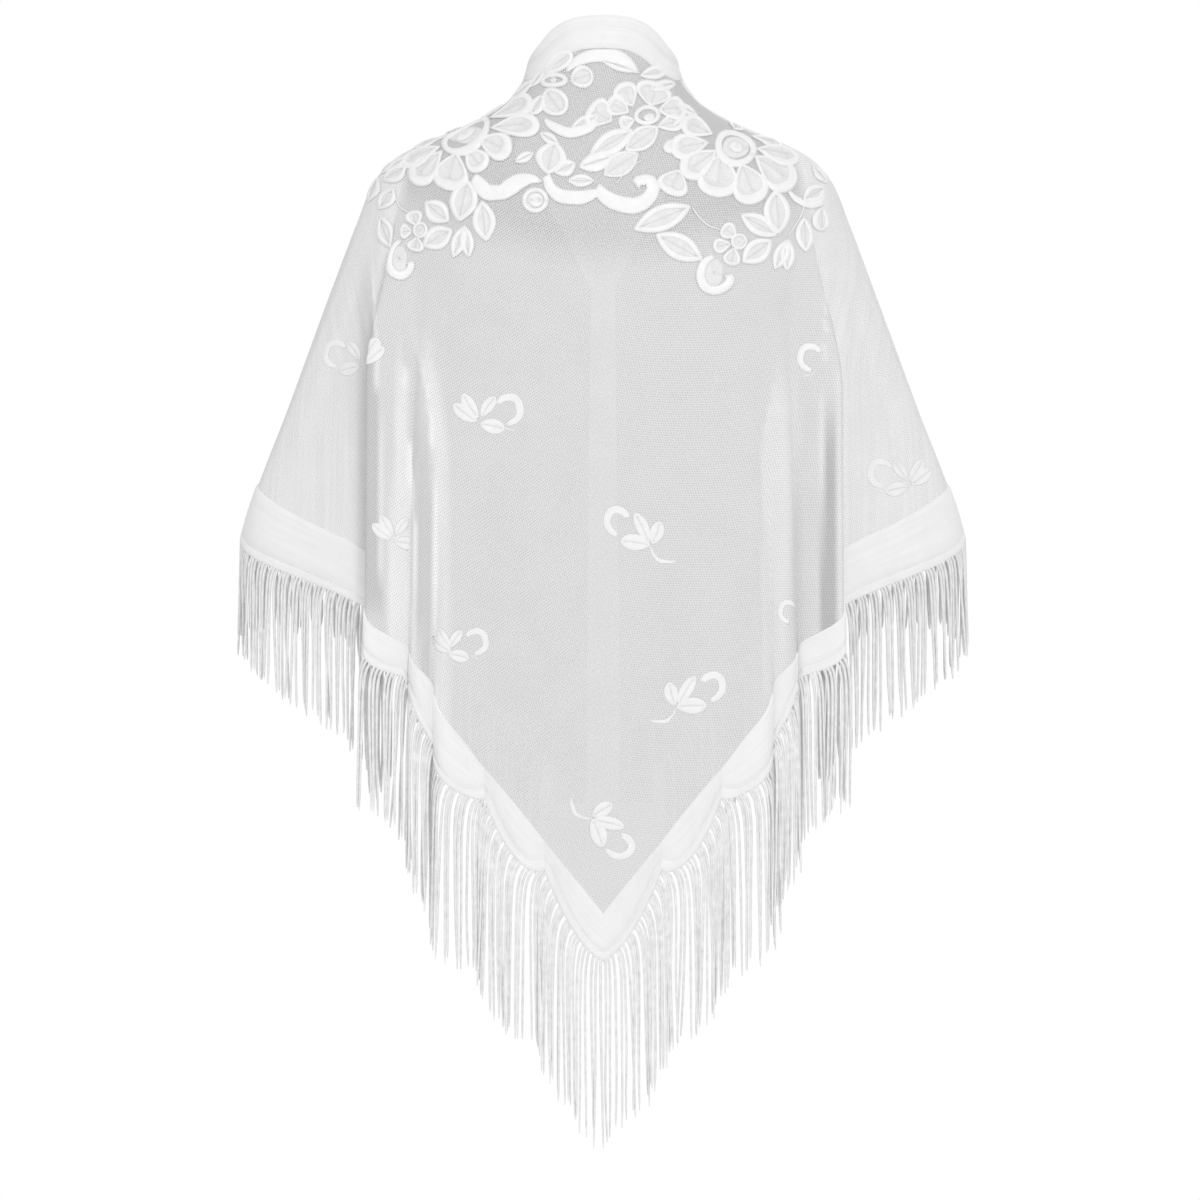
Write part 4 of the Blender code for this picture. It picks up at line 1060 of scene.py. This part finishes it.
# Lace of the yoke, in millimetres: x and height of the foot, x and height of the tip, width, rim
yokePetals = (
    # big flower on the right shoulder
    (116, -16, 121, -8, 14, 3), (132, -21, 160, -27, 12, 3), (97, -21, 71, -7, 20, 5), (137, -32, 176, -39, 19, 6),
    (101, -35, 70, -57, 24, 7), (135, -39, 171, -65, 30, 9), (105, -37, 100, -77, 35, 9), (122, -46, 136, -82, 31, 9),
    (94, -28, 60, -34, 22, 6), (68, -53, 58, -75, 27, 7),
    # big flower on the left shoulder
    (-108, -5, -90, 9, 12, 3), (-130, -11, -143, -16, 10, 3), (-141, -22, -168, -28, 12, 3),
    (-145, -30, -180, -44, 17, 5), (-100, -5, -64, 13, 18, 5), (-143, -34, -170, -62, 24, 8),
    (-121, -33, -105, -52, 21, 6), (-130, -36, -138, -70, 31, 9), (-111, -23, -82, -36, 24, 8),
    (-100, -14, -57, -11, 21, 6),
    # blossoms by the neck
    (29, -8, 15, -13, 13, 4), (7, -10, -14, 3, 27, 6), (24, -2, 5, 9, 20, 5), (27, 3, 17, 25, 21, 5),
    (50, 1, 75, 4, 22, 5), (49, -14, 72, -8, 16, 4), (43, 4, 49, 27, 32, 7),
    # small ring flowers
    (-164, -102, -168, -88, 14, 3), (-168, -106, -179, -106, 13, 3), (-163, -111, -166, -124, 14, 3),
    (118, -112, 105, -103, 15, 3), (113, -118, 97, -121, 13, 3), (116, -121, 112, -137, 15, 3),
)
yokeRounds = (
    (-54, 35, -29, 52, 16, 3), (-52, 20, -37, -3, 23, 3), (-54, 14, -64, -3, 12, 3), (193, -84, 193, -105, 16, 4),
    (-30, 27, -10, 33, 20, 3), (-66, -80, -53, -80, 12, 3),
)
yokeLeaves = (
    (-127, -98, -119, -61, 24, 4), (-136, -98, -157, -80, 19, 4), (-107, -80, -103, -116, 20, 4),
    (-133, -105, -159, -119, 20, 4), (-122, -102, -132, -130, 13, 3.2), (-122, -102, -118, -130, 12, 3.2),
    (-198, -91, -187, -120, 16, 3.5), (-185, -67, -198, -85, 14, 3), (-174, -48, -195, -59, 15, 3.5),
    (-200, -56, -208, -77, 11, 3), (-175, -39, -191, -50, 9, 3),
    (155, -109, 152, -69, 23, 4), (154, -110, 122, -92, 18, 4), (149, -114, 123, -134, 20, 4),
    (163, -113, 151, -140, 13, 3.2), (163, -113, 162, -141, 13, 3.2), (177, -93, 179, -124, 16, 3.5),
    (177, -78, 197, -65, 16, 4), (186, -46, 199, -61, 9, 3), (78, -85, 28, -106, 22, 4), (88, -132, 47, -110, 22, 4),
    (-50, -57, -43, -27, 27, 5), (-43, -56, -25, -47, 15, 4), (-32, -63, -9, -63, 11, 2.6),
    (-22, -51, 8, -41, 17, 6), (-29, -16, -5, -5, 11, 2.6), (21, -36, 50, -14, 20, 2.4), (32, -38, 2, -58, 20, 1.6),
    (-11, -41, 28, -17, 20, 4.5), (0, 45, 31, 35, 9, 3), (35, 32, 60, 38, 12, 3),
    (43, 20, 67, 27, 10, 3), (-84, 12, -61, 29, 10, 3), (-66, 22, -52, 38, 8, 2.6), (62, -16, 78, -4, 9, 3),
    (-78, -46, -62, -38, 9, 3), (66, 8, 84, -3, 8, 2.6), (-40, -30, -56, -20, 9, 2.6), (-186, -42, -197, -52, 7, 2.4),
)
# Scrolls, crescents and stems: rows of x, height, width
yokeScrolls = (
    ((-115, -57, 6.2), (-109, -66, 13.3), (-100, -73, 14.1), (-91, -73, 13.3), (-82, -68, 15.6), (-74, -63, 13.8),
     (-64, -61, 8.6), (-55, -64, 2.3)),
    ((-51, -57, 7.0), (-47, -69, 9.7), (-36, -77, 12.5), (-22, -78, 12.5), (-11, -75, 9.4), (-4, -72, 3.1)),
    ((-4, -66, 4.7), (1, -75, 11.7), (12, -82, 14.1), (27, -85, 14.4), (40, -79, 12.8), (45, -69, 11.7),
     (41, -62, 10.2), (32, -63, 9.1), (29, -69, 7.8)),
    ((-54, -6, 2.3), (-45, -14, 7.8), (-30, -20, 9.4), (-15, -16, 8.6), (-5, -8, 3.1)),
    ((-35, 36, 2.3), (-23, 45, 9.4), (-7, 49, 11.7), (8, 49, 11.7), (21, 44, 9.7), (31, 34, 3.1)),
    ((-178, -113, 3.4), (-187, -122, 5.9), (-189, -133, 7.2), (-185, -142, 7.8), (-178, -145, 7.8),
     (-171, -141, 7.2), (-168, -136, 7.5), (-170, -132, 4.7)),
    ((99, -128, 3.4), (89, -135, 6.6), (86, -146, 7.8), (90, -156, 8.1), (98, -159, 7.8), (107, -156, 7.8),
     (112, -149, 7.8), (109, -144, 5.3)),
    ((-184, -69, 1.2), (-183, -75, 1.6), (-178, -85, 1.6), (-170, -90, 1.2)),
    ((78, -85, 1.2), (85, -95, 1.6), (93, -102, 1.6), (104, -106, 1.2)),
    ((179, -80, 1.6), (174, -93, 1.6), (163, -111, 1.4)),
    ((163, -70, 1.9), (171, -78, 5.3), (182, -82, 6.2), (193, -79, 5.9), (198, -69, 2.2)),
    ((36, -44, 1.2), (24, -52, 1.4), (12, -66, 1.2)),
)
# Rings: x, height, half width, half height, cord, turn; domes: x, height, half width, half height, turn
yokeRings = (
    (-122, -19, 24.1, 12.5, 5.6, 32), (118, -31, 19.1, 16.9, 6.6, -25), (-45, 28, 12.2, 7.0, 4.7, 0),
    (40, -4, 11.7, 9.1, 4.1, 10), (-161, -105, 6.6, 7.2, 2.5, 0), (120, -116, 7.2, 7.2, 2.5, 0),
    (-60, -80, 11.6, 11.2, 4.2, 0),
)
yokeDomes = (
    (-122, -19, 10, 4, 32), (118, -31, 6.5, 5, -25), (-45, 28, 3, 2.4, 0), (42, -6, 5, 3.6, 10),
    (61, -32, 7.6, 6.2, 20), (-60, -80, 3, 3, 0),
)
# Gauze that fills the rings and curls: x, height, half width, half height
yokeGauze = (
    (-122, -19, 17, 8), (118, -31, 12, 10), (-161, -105, 4.6, 5), (120, -116, 5, 5), (-60, -80, 8, 8),
    (-179, -130, 7, 12), (98, -143, 8, 13),
)


def makeYoke(look):
    left, middle, right = Lace("yokeLaceLeft", look), Lace("yokeLaceMiddle", look), Lace("yokeLaceRight", look)

    def pick(x):
        return left if x < -70 else (right if x > 78 else middle)

    def place(row, fat, pointed, lift, isPetal=False):
        x0, z0, x1, z1, width, rim = (value / 1000 for value in row)
        length, turn = math.hypot(x1 - x0, z1 - z0), math.degrees(math.atan2(z1 - z0, x1 - x0))
        rim, width = rim * laceForm["petalRim" if isPetal else "leafRim"], width * laceForm["fuller"]
        foot = min(rim, laceForm["petalFoot"]) if isPetal else rim
        outline, feet, rims = petal(length, width, fat, pointed, foot, rim, footEnd=0.66 if isPetal else 0.84)
        centre = [length / 2, 0]
        pick((x0 + x1) * 500).add((outline - centre, feet - centre, rims, True), (x0 + x1) / 2, (z0 + z1) / 2,
                                  turn, 1.0, lift)

    for x, z, rx, ry in yokeGauze:
        outline = ellipse(rx, ry, laceForm["roundSides"]) / 1000
        pick(x).add((outline, outline * 0.1, np.full(len(outline), 0.0003), False), x / 1000, z / 1000, 0.0, 0.3,
                    0.0002, picots=False)
    # neighbours lie at slightly different heights
    for number, row in enumerate(yokePetals):
        place(row, 0.66, 0.50, 0.00010 * (number % 5), True)
    for row in yokeRounds:
        place(row, 0.55, 0.52, 0.0002)
    for number, row in enumerate(yokeLeaves):
        place(row, 0.50, 0.80, 0.00010 * (number % 3))
    for rows in yokeScrolls:
        rows = np.array(rows, float) / 1000
        centre = rows[:, :2].mean(axis=0)
        pick(centre[0] * 1000).add(cordLine(rows - [*centre, 0]), *centre, 0.0, 1.2, 0.0004,
                                   picots=rows[:, 2].max() > 0.004)
    for x, z, rx, ry, cord, turn in yokeRings:
        pick(x).ring(rx / 1000, ry / 1000, cord / 1000, x / 1000, z / 1000, turn, 1.3)
    for x, z, rx, ry, turn in yokeDomes:
        pick(x).dome(rx / 1000, ry / 1000, x / 1000, z / 1000, turn, 1.2)
    return left.finish(), middle.finish(), right.finish(), left.edges + middle.edges + right.edges


# Sprigs: kind, x, height, size, mirrored, turn, parts that show (0 all, 1 the curl, 2 the leaves)
sprigPlaces = (
    ("branch", 29.8, -369.5, 1.0, 1, -6, 0), ("branch", 78.8, -511.3, 1.0, 0, 0, 0),
    ("branch", 3.0, -628.0, 1.0, 0, -72, 0), ("fan", -101.5, -266.3, 1.0, 0, 0, 0),
    ("fan", -219.6, -215.5, 0.92, 1, 0, 0), ("fan", -174.0, -369.5, 0.85, 0, 0, 2),
    ("fan", -127.0, -467.5, 0.85, 0, 0, 0), ("fan", 262.5, -320.5, 0.95, 1, 0, 0),
    ("fan", 196.0, -220.0, 0.90, 1, 0, 1), ("fan", 175.0, -441.0, 0.75, 1, 0, 1),
)
# The two kinds of sprig in millimetres: leaves as foot, tip, width; curl and stem as x, height, width
sprigKinds = {
    "fan": (
        ((-9, -7, -30, 9, 13), (-8, -4, -22, 18, 12), (-6, -3, 7, 15, 11), (-7, -9, 15, -14, 14)),
        ((8, 8, 4.0), (13, 13, 6.2), (20, 14.5, 7.0), (27, 9.5, 7.2), (28.5, 1, 7.0), (24, -6, 6.4), (16, -9.5, 3.4)),
        ((12, -9.5, 1.4), (18, -13.5, 1.6), (26, -14.5, 1.2)),
    ),
    "branch": (
        ((-14, -10, 13, -9, 15), (-12, -9, 3, 17, 12), (-15, -9, -20, 12, 13)),
        ((8, 11, 5.0), (12, 16, 6.8), (19, 18, 7.2), (25, 13.5, 7.2), (26, 6.5, 6.8), (22.5, 0, 6.2), (15, -5, 3.4)),
        ((-13, -9, 1.6), (-17, -17, 2.4), (-24, -22.5, 4.0), (-31, -22.5, 3.0), (-39, -20.5, 1.0)),
    ),
}


# How flat the parts lie, against the height of the yoke lace
sprigForm = {"rim": 0.009, "bend": 0.03, "leaf": 0.45, "curl": 0.55, "stem": 0.5}


def turning(angle):
    return np.array([[math.cos(angle), math.sin(angle)], [-math.sin(angle), math.cos(angle)]])


def makeSprigs(look):
    lace = Lace("sprigLace", look)
    for kind, x, z, size, mirrored, turn, parts in sprigPlaces:
        leaves, curl, stem = sprigKinds[kind]
        unit, ways = size / 1000, turning(math.radians(turn))
        if mirrored:
            ways = ways * np.array([[-1.0], [1.0]])

        def place(outline, feet, rims, height):
            outline, feet = outline @ ways, feet @ ways
            centre = outline.mean(axis=0)
            lace.add((outline - centre, feet - centre, rims, False), x / 1000 + centre[0], z / 1000 + centre[1],
                     0.0, height)

        if parts != 1:
            for x0, z0, x1, z1, width in leaves:
                spin = turning(math.atan2(z1 - z0, x1 - x0))
                outline, feet, rims = petal(math.hypot(x1 - x0, z1 - z0) * unit, width * unit, 0.55, 0.55,
                                            sprigForm["rim"], sprigForm["rim"], sprigForm["bend"])
                move = [x0 * unit, z0 * unit]
                place(outline @ spin + move, feet @ spin + move, rims, sprigForm["leaf"])
        if parts != 2:
            for rows, count, height in ((curl, 24, sprigForm["curl"]), (stem, 12, sprigForm["stem"])):
                place(*cordLine(np.array(rows) * unit, count)[:3], height)
    return lace.finish()


# Small knots along the edges of the yoke lace
picotForm = {"pitch": 0.0024, "length": 0.0017, "width": 0.0012}


def makePicots(name, edges, tree, named, look):
    points, lines = [], []
    for edge in edges:
        first, count = len(points), len(edge)
        points += edge.tolist()
        lines += [(first + i, first + (i + 1) % count) for i in range(count)]
    piece = sewn(name, points, lines, picotForm, tree, named, look)
    print(name, len(piece.data.polygons), "faces")
    return piece


# Putting it together
def finishPiece(piece, slot, *nodes):
    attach(piece, "root")
    if nodes:
        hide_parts(*nodes)


makeStudio()
net, band, laceSatin = makeNetLook(), makeBandLook(), makeLaceLook("laceSatin", 0.84, 0.99)
yarn, thread = makeYarnLook(), makeThreadLook()
print("looks and studio")
netCloth = makeNet(net, clothLengths())
neckBand, neckGrid = makeNeckBand(band)
hemLeft, hemRight = makeHemBand("hemBandLeft", -1, band), makeHemBand("hemBandRight", 1, band)
print("bands")
strands, strandInputs = strandTree()
fringeLeft = makeFringe("fringeLeft", -1, strands, strandInputs, yarn)
fringeRight = makeFringe("fringeRight", 1, strands, strandInputs, yarn)
stitches, stitchInputs = stitchTree()
neckStitch = makeStitches("neckStitches", neckGrid[5], 0.0005, stitches, stitchInputs, thread)
neckStitchInner = makeStitches("neckStitchesInner", neckGrid[9], 0.0006, stitches, stitchInputs, thread)
print("stitches")
yokeLeft, yokeMiddle, yokeRight, laceEdges = makeYoke(laceSatin)
picots = makePicots("yokePicots", laceEdges, stitches, stitchInputs, thread)
sprigs = makeSprigs(makeLaceLook("sprigSatin", 0.81, 0.95))

finishPiece(netCloth, "net", "net_body")
finishPiece(neckBand, "band", "neck_front_band")
finishPiece(hemLeft, "band", "hem_band_left")
finishPiece(hemRight, "band", "hem_band_right")
finishPiece(fringeLeft, "fringe_yarn", "fringe_left")
finishPiece(fringeRight, "fringe_yarn", "fringe_right")
finishPiece(neckStitch, "band")
finishPiece(neckStitchInner, "band")
finishPiece(picots, "lace_cord")
laceNodes = [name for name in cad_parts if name.startswith(("yoke_", "spray_", "curl_"))]
finishPiece(yokeLeft, "lace_cord", *[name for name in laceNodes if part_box(name)[1][0] < -0.07])
finishPiece(yokeRight, "lace_cord", *[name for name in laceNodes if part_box(name)[0][0] > 0.07])
finishPiece(yokeMiddle, "lace_cord", *[name for name in laceNodes
                                       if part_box(name)[1][0] >= -0.07 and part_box(name)[0][0] <= 0.07])
finishPiece(sprigs, "lace_cord", *[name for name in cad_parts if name.startswith("sprig_")])
